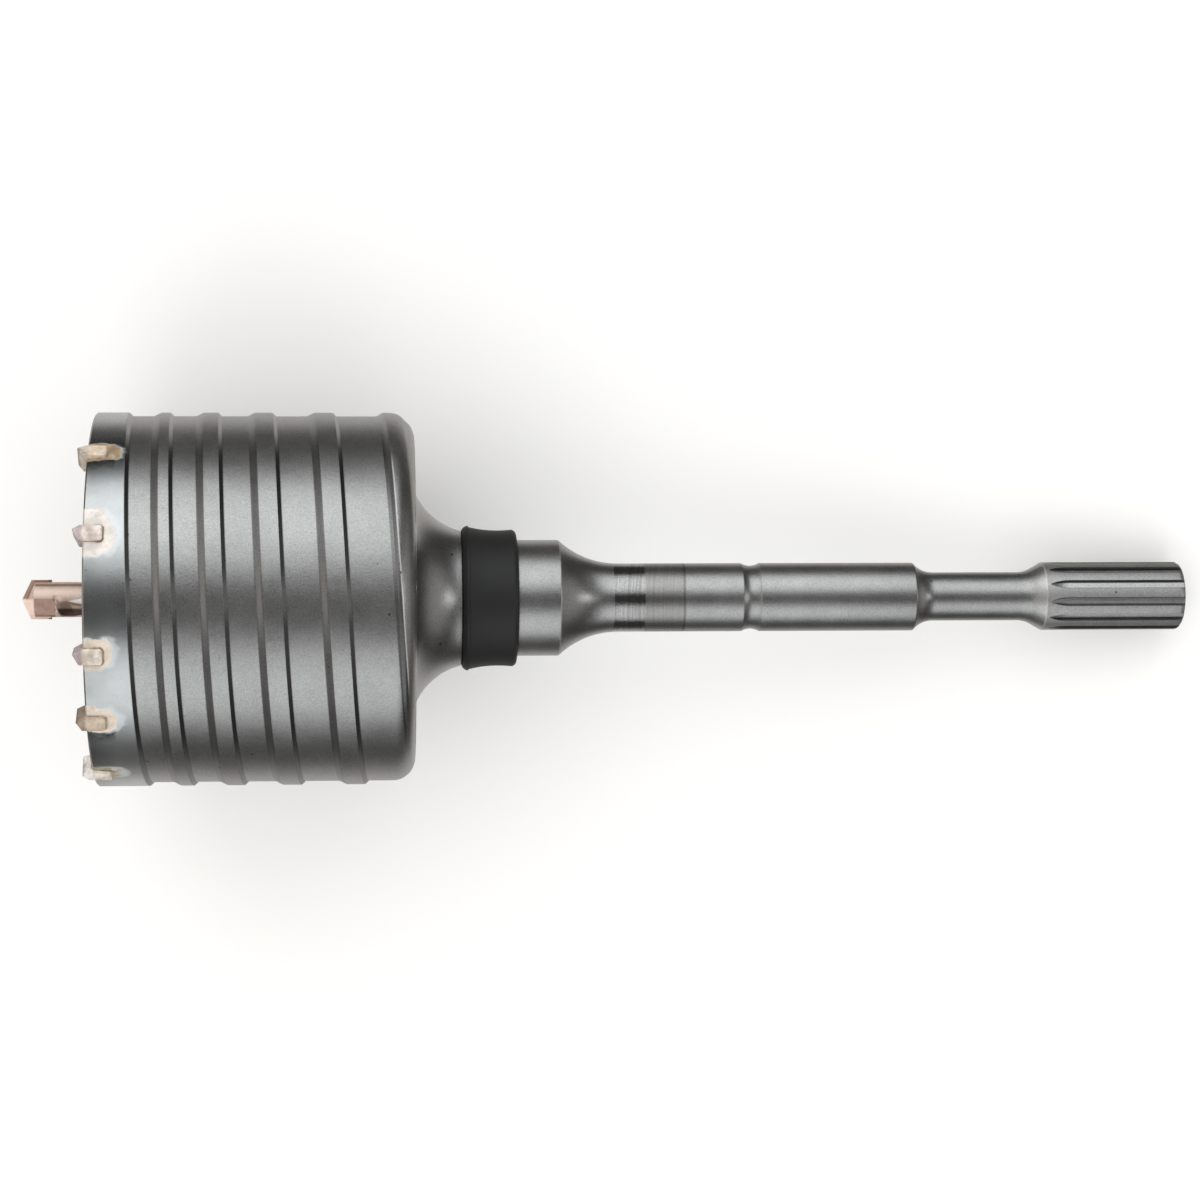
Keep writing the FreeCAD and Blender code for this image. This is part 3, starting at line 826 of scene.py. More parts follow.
@dataclass
class CutterBody:
    """The forging: ribbed cup, neck, shank and spline in one piece."""

    ring: ToothRing
    rib_radius: float = 51.4
    rib_height: float = 1.0
    cup_length: float = 86.6
    cavity_radius: float = 47.5
    cavity_depth: float = 79.6
    cavity_corner: float = 4.0
    rim_chamfer: float = 0.45
    rib_corner: float = 7.0
    floor_corner: float = 6.0
    floor_run: float = 6.0
    first_land: float = 8.7
    groove_lead: float = 10.3
    lead_growth: float = 0.888
    groove_width: float = 8.7
    width_growth: float = 0.31
    steep_flank: float = 0.97
    gentle_flank: float = 2.0
    flank_edge: float = 0.3
    flank_softness: float = 0.18
    groove_start: float = -0.32
    run_in: float = 0.16
    turn_rows: tuple[int, ...] = (2, 5, 2, 12, 2, 4, 2, 6)
    first_turn: int = -2
    turns_made: int = 8
    back_face: float = 45.5
    flare_out: float = 29.9
    flare_radius: float = 18.8
    ring_front: float = 99.6
    ring_back: float = 114.9
    ring_seat: float = 15.6
    flare_end: float = 18.7
    collar_radius: float = 16.1
    collar_row: float = 4.0
    collar_end: float = 126.65
    shank_start: float = 143.2
    shank_end: float = 226.3
    shank_radius: float = 9.525
    groove_place: float = 180.4
    groove_depth: float = 0.73
    groove_radius: float = 4.8
    neck_start: float = 232.1
    neck_end: float = 256.1
    neck_radius: float = 6.775
    flare_turn: float = 30.0
    spline_flare_radius: float = 8.0
    spline_start: float = 263.0
    bit_end: float = 302.6
    end_round: float = 1.7
    spline_count: int = 12
    spline_depth: float = 1.0
    spline_mouth: float = 2.35
    spline_floor: float = 1.7
    spline_setback: float = 1.0
    spline_runout: float = 15.6
    spline_turn: float = 9.6
    spline_lip: float = 0.3
    spline_edge: float = 0.12
    spline_softness: float = 0.05
    floor_softness: float = 0.06
    bore_radius: float = 5.2
    bore_end: float = 107.5
    bore_end_radius: float = 4.5
    rim_edge: float = 0.15
    mouth_edge: float = 0.35
    flare_edge: float = 0.8
    groove_edge: float = 0.25
    fine_edge: float = 0.3
    margin: float = 1.0
    sharp_angle: float = 28.0

    def wall(self, turns: Term, sizes: Optional[tuple[Term, Term, Term]] = None) -> Term:
        """Find the place of a land's back edge along the axis after so many turns."""
        first, lead, growth = sizes or (self.first_land, self.groove_lead, self.lead_growth)
        return turns * lead + first + turns * abs(turns) * growth

    def spline_reach(self) -> float:
        """Length over which a spline groove runs out to the shank's surface."""
        return math.sqrt(self.spline_runout ** 2 - (self.spline_runout - self.spline_depth) ** 2)

    def ribbed_wall(self, finish: bpy.types.Material) -> bpy.types.Mesh:
        """Make the cup's outside, whose rows of points follow the helical groove.

        Args:
            finish: The mesh's material.

        Returns:
            The mesh, open at both ends.
        """
        graph = ShapeGraph("ribbed_wall")
        land_sizes = (graph.size("First land", self.first_land), graph.size("Groove lead", self.groove_lead),
                      graph.size("Lead growth per turn", self.lead_growth))
        width = graph.size("Groove width", self.groove_width)
        widening = graph.size("Width growth per turn", self.width_growth)
        height = graph.size("Rib height", self.rib_height)
        steep = graph.size("Steep flank", self.steep_flank)
        gentle = graph.size("Gentle flank", self.gentle_flank)
        start = graph.size("Groove start", self.groove_start)
        run_in = graph.size("Run in", self.run_in)
        edge = self.flank_edge
        per_turn = sum(self.turn_rows)

        grid, station, column = graph.sheet(per_turn * self.turns_made + 1, COLUMNS)
        turn_number = graph.math("FLOOR", (station + 0.5) / per_turn)
        step = station - turn_number * per_turn
        turn = turn_number + column / COLUMNS + self.first_turn
        wall = self.wall(turn, land_sizes)
        wide = turn * turn * widening + width
        land = self.wall(turn + 1.0, land_sizes) - wall - wide
        lengths = (edge, steep, edge, wide - steep - gentle - 2 * edge, edge, gentle, edge,
                   land - 2 * edge)
        place = graph.steps(step, wall - edge, zip(self.turn_rows, lengths))
        place = graph.math("MAXIMUM", place, self.rim_chamfer)

        corner_start = self.cup_length - self.rib_corner
        corner_end = corner_start + self.rib_corner * math.pi / 2
        arc = graph.ramp(place, corner_start, corner_end) * (math.pi / 2)
        sine = graph.math("SINE", arc)
        cosine = graph.math("COSINE", arc)
        inwards = graph.math("MAXIMUM", place - corner_end, 0.0)
        plain = graph.math("MINIMUM", place, corner_start)
        rib_along = plain + sine * self.rib_corner
        rib_out = cosine * self.rib_corner + (self.rib_radius - self.rib_corner) - inwards
        shift = self.rib_corner - self.floor_corner
        floor_along = plain + graph.ramp(place, corner_start - self.floor_run, corner_start) * shift
        floor_along = floor_along + sine * self.floor_corner
        floor_out = cosine * self.floor_corner + (self.rib_radius - self.floor_corner) - height - inwards

        soft = self.flank_softness
        down = (rib_along - wall) / steep
        up = (wall + wide - rib_along) / gentle
        depth = graph.soft_min(graph.soft_min(down, 1.0, soft), up, soft)
        share = graph.soft_max(depth, 0.0, soft) * graph.ramp(turn, start, start + run_in)
        along = graph.mix(share, rib_along, floor_along)
        out = graph.math("MAXIMUM", graph.mix(share, rib_out, floor_out), self.back_face)
        angle = math.pi / 2 - column * (2 * math.pi / COLUMNS)
        return graph.turned(grid, (along, out, angle), "ribbed_wall", finish)

    def spline(self, finish: bpy.types.Material) -> bpy.types.Mesh:
        """Make the splined end: one groove's section, repeated round, with its curved run-out.

        Args:
            finish: The mesh's material.

        Returns:
            The mesh, open at both ends.
        """
        graph = ShapeGraph("spline")
        depth_full = graph.size("Groove depth", self.spline_depth)
        mouth = graph.size("Groove mouth", self.spline_mouth)
        floor = graph.size("Groove floor", self.spline_floor)
        bend = graph.size("Run-out radius", self.spline_runout)
        radius = graph.size("Shank radius", self.shank_radius)
        lip = self.spline_lip
        soft = self.spline_softness
        setback = self.spline_start + self.spline_setback
        reach = self.spline_reach()
        rounding_start = self.bit_end - self.end_round
        quarter = self.end_round * math.pi / 2
        spans = ((3, self.spline_setback - lip), (16, reach), (8, rounding_start - setback - reach),
                 (8, quarter), (1, self.margin))
        stations = sum(count for count, _ in spans) + 1
        grid, station, column = graph.sheet(stations, COLUMNS)
        path = graph.steps(station, self.spline_start + lip, spans)
        arc = graph.ramp(path, rounding_start, rounding_start + quarter) * (math.pi / 2)
        along = graph.math("MINIMUM", path, rounding_start) + graph.math("SINE", arc) * self.end_round
        inwards = graph.math("MAXIMUM", path - (rounding_start + quarter), 0.0)
        top = radius - (1 - graph.math("COSINE", arc)) * self.end_round - inwards

        short = graph.math("MAXIMUM", graph.math("MINIMUM", setback + reach - along, reach), 0.0)
        depth = depth_full - bend + graph.math("SQRT", bend * bend - short * short)
        depth = graph.math("MAXIMUM", depth, 0.0)
        share = depth / depth_full
        half_floor = floor / 2 * share
        slope = (mouth - floor) / 2 / depth_full
        half_mouth = half_floor + slope * depth
        per_cell = COLUMNS // self.spline_count
        cell_shift = 4
        cell = graph.math("FLOOR", (column + cell_shift + 0.5) / per_cell)
        within = column + cell_shift - cell * per_cell - per_cell / 2
        edge = share * self.spline_edge
        half_pitch = math.pi * self.shank_radius / self.spline_count
        sideways = graph.steps(abs(within), 0.0, (
            (3, half_floor - edge), (1, edge), (3, half_mouth - half_floor), (1, edge),
            (2, half_pitch - half_mouth - edge)))
        cut = graph.soft_min((half_mouth - sideways) / slope, depth, self.floor_softness)
        cut = graph.soft_max(cut, 0.0, soft) * graph.ramp(share, 0.0, 0.05)
        out = graph.soft_min(top, radius - cut, soft)
        pitch = 2 * math.pi / self.spline_count
        centre = math.radians(90 - self.spline_turn) - cell * pitch
        own_angle = centre - graph.math("SIGN", within) * sideways / radius
        plain_angle = math.pi / 2 - column * (2 * math.pi / COLUMNS)
        blend = graph.ramp(along, self.spline_start + lip, setback)
        angle = graph.mix(blend, plain_angle, own_angle)
        return graph.turned(grid, (along, out, angle), "spline", finish)

    def front_outline(self) -> list[Point]:
        """Draw the rim's face, the cup's inside and the bore for the pilot drill.

        Returns:
            Places along the axis and radii.
        """
        outline = Outline(self.rim_chamfer, self.rib_radius)
        outline.to(0.0, self.rib_radius - self.rim_chamfer, self.rim_edge)
        outline.to(0.0, self.cavity_radius, self.mouth_edge)
        for share in (0.15, 0.5):
            outline.to(self.cavity_depth * share, self.cavity_radius)
        corner = self.cavity_depth - self.cavity_corner
        centre = (corner, self.cavity_radius - self.cavity_corner)
        outline.to(corner, self.cavity_radius)
        outline.arc(self.cavity_depth, centre[1], centre, 8)
        for share in (0.75, 0.5, 0.25):
            outline.to(self.cavity_depth, self.bore_radius + (centre[1] - self.bore_radius) * share)
        outline.to(self.cavity_depth, self.bore_radius, self.fine_edge)
        return outline.to(self.bore_end, self.bore_end_radius).to(self.bore_end, 0.0).softened()

    def rear_outline(self) -> list[Point]:
        """Draw the cup's back, the neck and the shank as far as the spline.

        Returns:
            Places along the axis and radii.
        """
        fine = self.fine_edge
        middle = Vector(((self.cup_length + self.ring_front) / 2, (self.flare_out + self.flare_end) / 2))
        chord = Vector((self.ring_front - self.cup_length, self.flare_end - self.flare_out))
        height = math.sqrt(self.flare_radius ** 2 - (chord.length / 2) ** 2)
        flare_centre = middle + Vector((-chord.y, chord.x)).normalized() * height
        outline = Outline(self.cup_length, self.back_face - self.margin)
        for share in (0.75, 0.5, 0.25):
            outline.to(self.cup_length, self.flare_out + (self.back_face - self.flare_out) * share)
        outline.to(self.cup_length, self.flare_out, self.flare_edge)
        outline.arc(self.ring_front, self.flare_end, tuple(flare_centre), 18, fine)
        outline.to(self.ring_front, self.ring_seat).to(self.ring_back, self.ring_seat)
        outline.to(self.ring_back, self.collar_radius, fine)
        outline.to(self.collar_end - self.collar_row, self.collar_radius)
        outline.to(self.collar_end, self.collar_radius, fine)
        self._bend(outline, self.shank_start, self.shank_radius, 16)
        groove_centre = self.shank_radius - self.groove_depth + self.groove_radius
        half = math.sqrt(self.groove_radius ** 2 - (self.groove_radius - self.groove_depth) ** 2)
        start, end = self.groove_place - half, self.groove_place + half
        outline.to((self.shank_start + start) / 2, self.shank_radius)
        outline.to(start, self.shank_radius, self.groove_edge)
        outline.arc(end, self.shank_radius, (self.groove_place, groove_centre), 10, self.groove_edge)
        outline.to((end + self.shank_end) / 2, self.shank_radius)
        outline.to(self.shank_end, self.shank_radius, fine)
        self._bend(outline, self.neck_start, self.neck_radius, 12)
        outline.to((self.neck_start + self.neck_end) / 2, self.neck_radius)
        outline.to(self.neck_end, self.neck_radius)
        turn = math.radians(self.flare_turn)
        flare_along = self.neck_end + self.spline_flare_radius * math.sin(turn)
        flare_out = self.neck_radius + self.spline_flare_radius * (1 - math.cos(turn))
        outline.arc(flare_along, flare_out, (self.neck_end, self.neck_radius + self.spline_flare_radius), 8)
        outline.to(self.spline_start, self.shank_radius, fine)
        return outline.to(self.spline_start + self.spline_lip, self.shank_radius).softened()

    @staticmethod
    def _bend(outline: Outline, along: float, out: float, steps: int) -> None:
        """Draw a bend that ends running along the axis.

        Args:
            outline: The outline so far.
            along: Where the bend ends along the axis.
            out: The radius where it ends.
            steps: Number of straight steps.
        """
        start_along, start_out, _ = outline.points[-1]
        run = along - start_along
        drop = start_out - out
        radius = (run ** 2 + drop ** 2) / (2 * drop)
        outline.arc(along, out, (along, out + radius), steps)

    def build(self, finish: bpy.types.Material) -> bpy.types.Mesh:
        """Make the whole forging and cut the tooth slots.

        Args:
            finish: The mesh's material.

        Returns:
            The forging's mesh.
        """
        front = lathed(self.front_outline(), COLUMNS)
        back = lathed(self.rear_outline(), COLUMNS)
        end_edge = self.shank_radius - self.end_round - self.margin
        end = lathed([(self.bit_end, end_edge), (self.bit_end, 0.0)], COLUMNS)
        skins = (self.ribbed_wall(finish), front, back, self.spline(finish), end)
        body = joined("body", skins, merge=2e-3)
        forging = cut_away(body, self._slot_cutters(finish))
        smoothed(forging, self.sharp_angle)
        return forging

    def _slot_cutters(self, finish: bpy.types.Material) -> bpy.types.Mesh:
        """Make the tooth slots' cutters as one mesh.

        Args:
            finish: The mesh's material.

        Returns:
            The cutters' mesh.
        """
        ring = self.ring
        front = [(-2 * self.margin, ring.slot_half), (-2 * self.margin, -ring.slot_half)]
        outline = rounded_block(front, ring.slot_depth, ring.slot_half, ring.slot_corner)
        inside, outside = self.cavity_radius - self.margin, self.rib_radius + self.margin
        block = new_object("slot_block", prism(outline, inside, outside, "slot"))
        graph = ShapeGraph("slots_round_the_rim")
        slots = graph.mesh(ring.repeated(graph, graph.source("Slot", block)), "slots", finish)
        bpy.data.objects.remove(block)
        return slots

    def dress(self, lie: Lie) -> None:
        """Build the forging in its finish and lay it down."""
        steel = BlastedSteel(self.ring, self).make(lie)
        lie.piece("forged_body", self.build(steel), steel, ["cutter_body"])


@dataclass(frozen=True)
class Coat:
    """What the shader gets at one stage: colour, roughness and how metallic the surface is."""

    colour: Term
    roughness: Term
    metal: Term


@dataclass(frozen=True)
class BlastedSteel:
    """Blasted forging steel: smooth front land, braze film round the teeth, heat marks, painted shade and
    light.

    Spans are in millimetres, with these exceptions. A height is a share of the radius, an edge of
    the film or the scorch is 1 where the film ends, depths and lifts are how far the shade
    changes, and the size of a pit is a share of its cell.
    """

    ring: ToothRing
    body: CutterBody
    colour: Colour = (0.57, 0.56, 0.555)
    front_colour: Colour = (0.69, 0.70, 0.705)
    rim_colour: Colour = (0.30, 0.25, 0.20)
    edge_highlight_colour: Colour = (0.62, 0.62, 0.61)
    pit_colour: Colour = (0.05, 0.05, 0.05)
    scorch_colour: Colour = (0.045, 0.04, 0.035)
    fringe_colour: Colour = (0.80, 0.87, 0.90)
    polished_colour: Colour = (0.22, 0.21, 0.20)
    heated_colour: Colour = (0.30, 0.275, 0.25)
    line_colour: Colour = (0.10, 0.09, 0.08)
    roughness: float = 0.35
    front_roughness: float = 0.28
    polished_roughness: float = 0.16
    fringe_roughness: float = 0.4
    film_roughness: float = 0.6
    fine: Noise = (2400.0, 2.0, 0.65)
    cloud: Noise = (70.0, 3.0, 0.6)
    grime: Noise = (260.0, 4.0, 0.7)
    specks: Noise = (900.0, 2.0, 0.7)
    pit_scale: float = 130.0
    pit_size: Span = (0.078, 0.055)
    grain_depth: float = 0.00006
    lifted_height: Span = (0.74, 0.9)
    sunk_height: Span = (-0.6, -0.95)
    sunk_lift: float = 0.55
    lower_height: Span = (-0.05, -0.3)
    lower_depth: float = 0.34
    gentle_height: Span = (0.15, 0.6)
    gentle_depth: Span = (0.34, 0.64)
    steep_middle: float = 0.01
    steep_height: Span = (0.05, 0.15)
    steep_depth: Span = (0.36, 0.68)
    film_overlap: float = 0.9
    film_edge: Span = (1.03, 0.87)
    fringe_edge: Span = (1.12, 0.8)
    scorch_edge: Span = (2.5, 1.1)
    scorch_side: Span = (0.0, -1.5)
    scorch_back: Span = (7.8, 7.0)
    ragged: Noise = (150.0, 2.0, 0.5)
    soot: Noise = (700.0, 3.0, 0.7)
    blotches: Noise = (420.0, 3.0, 0.6)
    streaks: Noise = (1.0, 3.0, 0.7)
    streak_stretch: tuple[float, float, float] = (1500.0, 14.0, 14.0)
    wave: Noise = (60.0, 2.0, 0.5)
    outer_wall: Span = (49.2, 49.6)
    cup_back: Span = (90.0, 89.0)
    smudge_reach: Span = (7.0, 1.5)
    smudge_depth: float = 0.24
    shadow_below: Span = (29.0, 36.5)
    shadow_above: Span = (43.5, 41.5)
    shadow_depth: float = 0.42
    painted_light_above: Span = (-33.0, -37.0)
    painted_light_below: Span = (-47.0, -43.0)
    wear_and_painted_light_reach: Span = (0.5, 7.0)
    painted_light_lift: Span = (0.1, 0.6)
    wall_shade_depth: float = 0.74
    back_reach: Span = (20.0, 34.0)
    back_shade: float = 0.93
    spline_run: float = 3.0
    spline_painted_light: float = 1.3
    curve_run: Span = (1.5, 3.0)
    curve_gloss: float = 0.04
    edge_highlight_width: Span = (0.22, 0.08)
    last_land: Span = (76.0, 78.0)
    last_top: Span = (39.0, 35.0)
    rim_line: Span = (0.45, 0.15)
    rim_inside: Span = (46.0, 47.0)
    polished: Span = (141.6, 150.6)
    polished_start: float = 0.3
    polished_end: float = 0.4
    heated_end: Span = (162.0, 161.3)
    line_place: float = 161.4
    line_width: Span = (0.5, 0.15)

    def make(self, lie: Lie) -> bpy.types.Material:
        """Make the material.

        Args:
            lie: How the bit lies.

        Returns:
            The material.
        """
        surface = Surface("blasted_steel", lie)
        fine = surface.noise(*self.fine)
        cloud = surface.noise(*self.cloud)
        grime = surface.noise(*self.grime)
        front = self._front_land(surface)
        out = surface.radius()
        outside = surface.ramp(out, *self.outer_wall) * surface.ramp(surface.along, *self.cup_back)
        steep, gentle, edge_highlight = self._flanks(surface, outside)
        lands, wall_shade = self._spline_marks(surface)

        # Painted shade on the groove flanks and on the front land near the top, and painted light lower on
        # the front land.
        shade = self._flank_shade(surface, surface.up / out, steep, gentle)
        shade = shade - self._land_shade(surface, cloud + grime * 0.3) * front
        # Painted shade in the spline grooves' walls; the steel also gets a little darker towards the back.
        shade = (shade - wall_shade * self.wall_shade_depth) * surface.ramp(
            surface.along, *self.back_reach, 1.0, self.back_shade)
        # Painted light: the spline end is made lighter where the strip lights fade.
        spline_start = self.body.spline_start
        shade = shade * surface.ramp(
            surface.along, spline_start - self.spline_run, spline_start, 1.0, self.spline_painted_light)
        grain = (fine - 0.5) * (1.0 - front * 0.8)
        colour = surface.tint(front, self.colour, self.front_colour)
        colour = surface.shaded(colour, (grain * 0.9 + cloud * 0.35 + grime * 0.25 + 0.7) * shade)
        roughness = surface.mix(front, self.roughness, self.front_roughness)
        roughness = roughness + cloud * 0.08 + grain * 0.1 - 0.04 + lands * 0.15
        roughness = self._curves(surface, roughness)

        # Painted highlights: lighter, less metallic lines along the collar's and the spline's edges and
        # along the last land's edge.
        for edge_place in (self.body.collar_end, spline_start):
            edge_highlight = edge_highlight + surface.ramp(abs(surface.along - edge_place), *self.edge_highlight_width) * 0.4
        colour = surface.tint(edge_highlight * 0.5, colour, self.edge_highlight_colour)
        metal = 1.0 - edge_highlight * 0.45
        colour = self._pitted(surface, grime, colour)
        colour, roughness = self._heat_marks(surface, colour, roughness)
        for tooth in self.ring.teeth:
            coat = self._film(surface, tooth, grime, outside, Coat(colour, roughness, metal))
            colour, roughness, metal = coat.colour, coat.roughness, coat.metal
        edge = surface.ramp(surface.along, *self.rim_line) * surface.ramp(out, *self.rim_inside)
        colour = surface.tint(edge * (grime * 0.8 + 0.35), colour, self.rim_colour)

        surface.feed("Metallic", metal)
        surface.feed("Base Color", colour)
        surface.feed("Roughness", roughness)
        surface.bump(grain + grime * 0.8, self.grain_depth, 0.6)
        return surface.material

    def _front_land(self, surface: Surface) -> Term:
        """Mask the smoother land between the rim and the first groove.

        Args:
            surface: The material.

        Returns:
            The mask.
        """
        start = self.body.groove_start
        turns = 0.25 - surface.turn / (2 * math.pi)
        wall = self.body.wall((turns - start) % 1.0 + start)
        return surface.ramp(surface.along - wall, 0.1, -0.3)

    def _flank_shade(self, surface: Surface, height: Term, steep: Term, gentle: Term) -> Term:
        """Paint shade on the groove's flanks, less where they face the floor or the sky.

        Args:
            surface: The material.
            height: Height over the axis, as a share of the radius.
            steep: Mask of the steep flank.
            gentle: Mask of the gentle flank.

        Returns:
            The factor that the colour takes.
        """
        lifted = surface.ramp(height, *self.lifted_height, smooth=True)
        sunk = surface.ramp(height, *self.sunk_height, 0.0, self.sunk_lift)
        lower = surface.ramp(height, *self.lower_height, 0.0, self.lower_depth)
        gentle = gentle * (surface.ramp(height, *self.gentle_height, *self.gentle_depth) + lower)
        steep = steep * surface.ramp(abs(height - self.steep_middle), *self.steep_height, *self.steep_depth)
        return 1.0 - steep * (1.0 - lifted - sunk * 0.5) - gentle * (1.0 - lifted - sunk)

    def _land_shade(self, surface: Surface, patches: Term) -> Term:
        """Work out how much darker the front land is: smudged, with painted shade near the top and painted
        light lower down.

        Args:
            surface: The material.
            patches: Noise that the marks follow.

        Returns:
            What the factor loses.
        """
        along, up = surface.along, surface.up
        smudge = surface.ramp(patches, 0.58, 0.74) * surface.ramp(along, *self.smudge_reach)
        # Painted shade on the front land near the top, under the top tooth.
        shadow = surface.ramp(up, *self.shadow_below, smooth=True) * surface.ramp(up, *self.shadow_above)
        # Painted light: the front land is made lighter low down.
        wear_and_painted_light = surface.ramp(up, *self.painted_light_above, smooth=True) * surface.ramp(
            along, *self.wear_and_painted_light_reach, *self.painted_light_lift)
        wear_and_painted_light = wear_and_painted_light * surface.ramp(patches, 0.45, 0.75, 1.0, 0.6) * surface.ramp(up, *self.painted_light_below)
        return smudge * self.smudge_depth + shadow * self.shadow_depth - wear_and_painted_light

    def _curves(self, surface: Surface, roughness: Term) -> Term:
        """Make the flare behind the cup and the taper behind the collar a little glossier.

        Args:
            surface: The material.
            roughness: The roughness so far.

        Returns:
            The new roughness.
        """
        body = self.body
        rise, fall = self.curve_run
        for start, stop in ((body.cup_length - 1.0, body.ring_front), (body.collar_end, body.shank_start)):
            curved = surface.between(surface.along, (start, start + rise), (stop, stop - fall))
            roughness = roughness - curved * self.curve_gloss
        return roughness

    def _pitted(self, surface: Surface, grime: Term, colour: Term) -> Term:
        """Strew specks and small pits over the steel.

        Args:
            surface: The material.
            grime: Noise that frays the pits.
            colour: The colour so far.

        Returns:
            The new colour.
        """
        specks = surface.ramp(surface.noise(*self.specks), 0.72, 0.76)
        inputs = {"Vector": surface.position, "Scale": self.pit_scale}
        cells = surface.term("ShaderNodeTexVoronoi", {"feature": "F1"}, inputs)
        pits = surface.ramp(cells + grime * 0.05, *self.pit_size)
        return surface.tint(specks * 0.55 + pits * 0.8, colour, self.pit_colour)

    def _spline_marks(self, surface: Surface) -> tuple[Term, Term]:
        """Mask the spline's lands and its grooves' walls, which get painted shade.

        Args:
            surface: The material.

        Returns:
            The masks of the lands and the walls.
        """
        body = self.body
        pitch = 2 * math.pi / body.spline_count
        shift = pitch * 1.5 - math.radians(90 - body.spline_turn) % pitch
        sideways = abs((surface.turn + shift) % pitch - pitch / 2) * body.shank_radius
        setback = body.spline_start + body.spline_setback
        bend = body.spline_runout
        short = surface.math("MAXIMUM", setback + body.spline_reach() - surface.along, 0.0)
        sunk = surface.math("SQRT", surface.math("MAXIMUM", bend ** 2 - short * short, 0.0))
        share = surface.math("MAXIMUM", (sunk + (body.spline_depth - bend)) / body.spline_depth, 0.0)
        floor = share * (body.spline_floor / 2)
        mouth = share * (body.spline_mouth / 2)
        splined = surface.ramp(surface.along, setback, setback + 0.3)
        # Painted shade in the grooves' walls.
        wall_shade = surface.between(sideways, (floor - 0.12, floor + 0.05), (mouth + 0.14, mouth)) * splined
        lands = surface.ramp(sideways, mouth, mouth + 0.15) * surface.ramp(
            surface.along, body.spline_start - 0.2, body.spline_start + 0.1)
        return lands, wall_shade

    def _flanks(self, surface: Surface, outside: Term) -> tuple[Term, Term, Term]:
        """Mask the groove's steep and gentle flanks and the last land's edge, which gets a painted
        highlight.

        Args:
            surface: The material.
            outside: Mask of the cup's outside.

        Returns:
            The masks of the steep flank, the gentle one and the edge.
        """
        body = self.body
        past = surface.math("MAXIMUM", surface.along - body.first_land, 0.0)
        inner = past * (4 * body.lead_growth) + body.groove_lead ** 2
        gone = (surface.math("SQRT", inner) - body.groove_lead) / (2 * body.lead_growth)
        start = 0.25 - surface.turn / (2 * math.pi)
        own = gone - (gone - start) % 1.0
        depth = surface.along - body.wall(own)
        short = depth - (own * own * body.width_growth + body.groove_width)
        steep = surface.between(depth, (-0.15, 0.1), (body.steep_flank + 0.3, body.steep_flank))
        gentle = surface.between(short, (-body.gentle_flank - 0.1, -body.gentle_flank + 0.1), (0.1, -0.1))
        begun = surface.ramp(own, body.groove_start, body.groove_start + body.run_in) * outside
        # The last land's edge gets a painted highlight, weaker at the top.
        edge = surface.ramp(abs(short - 0.1), 0.28, 0.1) * begun
        last = surface.ramp(surface.along, *self.last_land) * surface.ramp(surface.up, *self.last_top)
        return steep * begun, gentle * begun, edge * last

    def _film(self, surface: Surface, tooth: Tooth, grime: Term, outside: Term, coat: Coat) -> Coat:
        """Lay a tooth's ragged braze film, with a paler bluish fringe, over the steel.

        Args:
            surface: The material.
            tooth: The tooth.
            grime: Noise that frays the film.
            outside: Mask of the cup's outside.
            coat: The steel so far.

        Returns:
            The steel with the film on it.
        """
        overlap = self.film_overlap
        across = surface.tooth_offset(tooth.angle, self.body.rib_radius)
        inner = self.ring.tooth_half - overlap
        middle = self.ring.slot_depth / 2
        above = surface.math("MAXIMUM", across - inner, 0.0) / (tooth.above + overlap)
        below = surface.math("MAXIMUM", across * -1.0 - inner, 0.0) / (tooth.below + overlap)
        sides = above * above + below * below
        reach = tooth.beyond + middle
        uneven = (grime - 0.5) * 0.9 + (surface.noise(*self.ragged) - 0.5) * 0.9

        def ragged_to(past: float) -> Term:
            """Measure the way out from the tooth, which is 1 at the film's ragged edge."""
            beyond = surface.math("MAXIMUM", surface.along - middle - past, 0.0) / reach
            return surface.math("SQRT", sides + beyond * beyond) + uneven

        ragged = ragged_to(0.0)
        cover = outside * tooth.cover
        film = surface.ramp(ragged, *self.film_edge, smooth=True) * cover
        fringe = surface.ramp(ragged_to(tooth.fringe), *self.fringe_edge, smooth=True) * cover
        burnt = surface.ramp(ragged, *self.scorch_edge) * surface.ramp(across, *self.scorch_side)
        burnt = burnt * outside * surface.ramp(surface.along, *self.scorch_back) * tooth.scorch
        burnt = burnt * surface.ramp(surface.noise(*self.soot), 0.34, 0.56, 0.45, 1.0)
        stain = surface.ramp(ragged, 0.45, 0.8, 0.86, 1.0)
        blotch = surface.ramp(surface.noise(*self.blotches), 0.5, 0.68)
        filler = surface.tint(blotch * 0.4, tooth.film, tooth.face)
        colour = surface.tint(burnt * 0.85, coat.colour, self.scorch_colour)
        colour = surface.tint(fringe * 0.7, colour, self.fringe_colour)
        colour = surface.tint(film, colour, surface.shaded(filler, stain * (grime * 0.9 + 0.55)))
        roughness = surface.mix(fringe, coat.roughness, self.fringe_roughness)
        roughness = surface.mix(film, roughness, self.film_roughness)
        metal = surface.mix(fringe * 0.35, coat.metal, 0.0)
        return Coat(colour, roughness, surface.mix(film * 0.85, metal, 0.0))

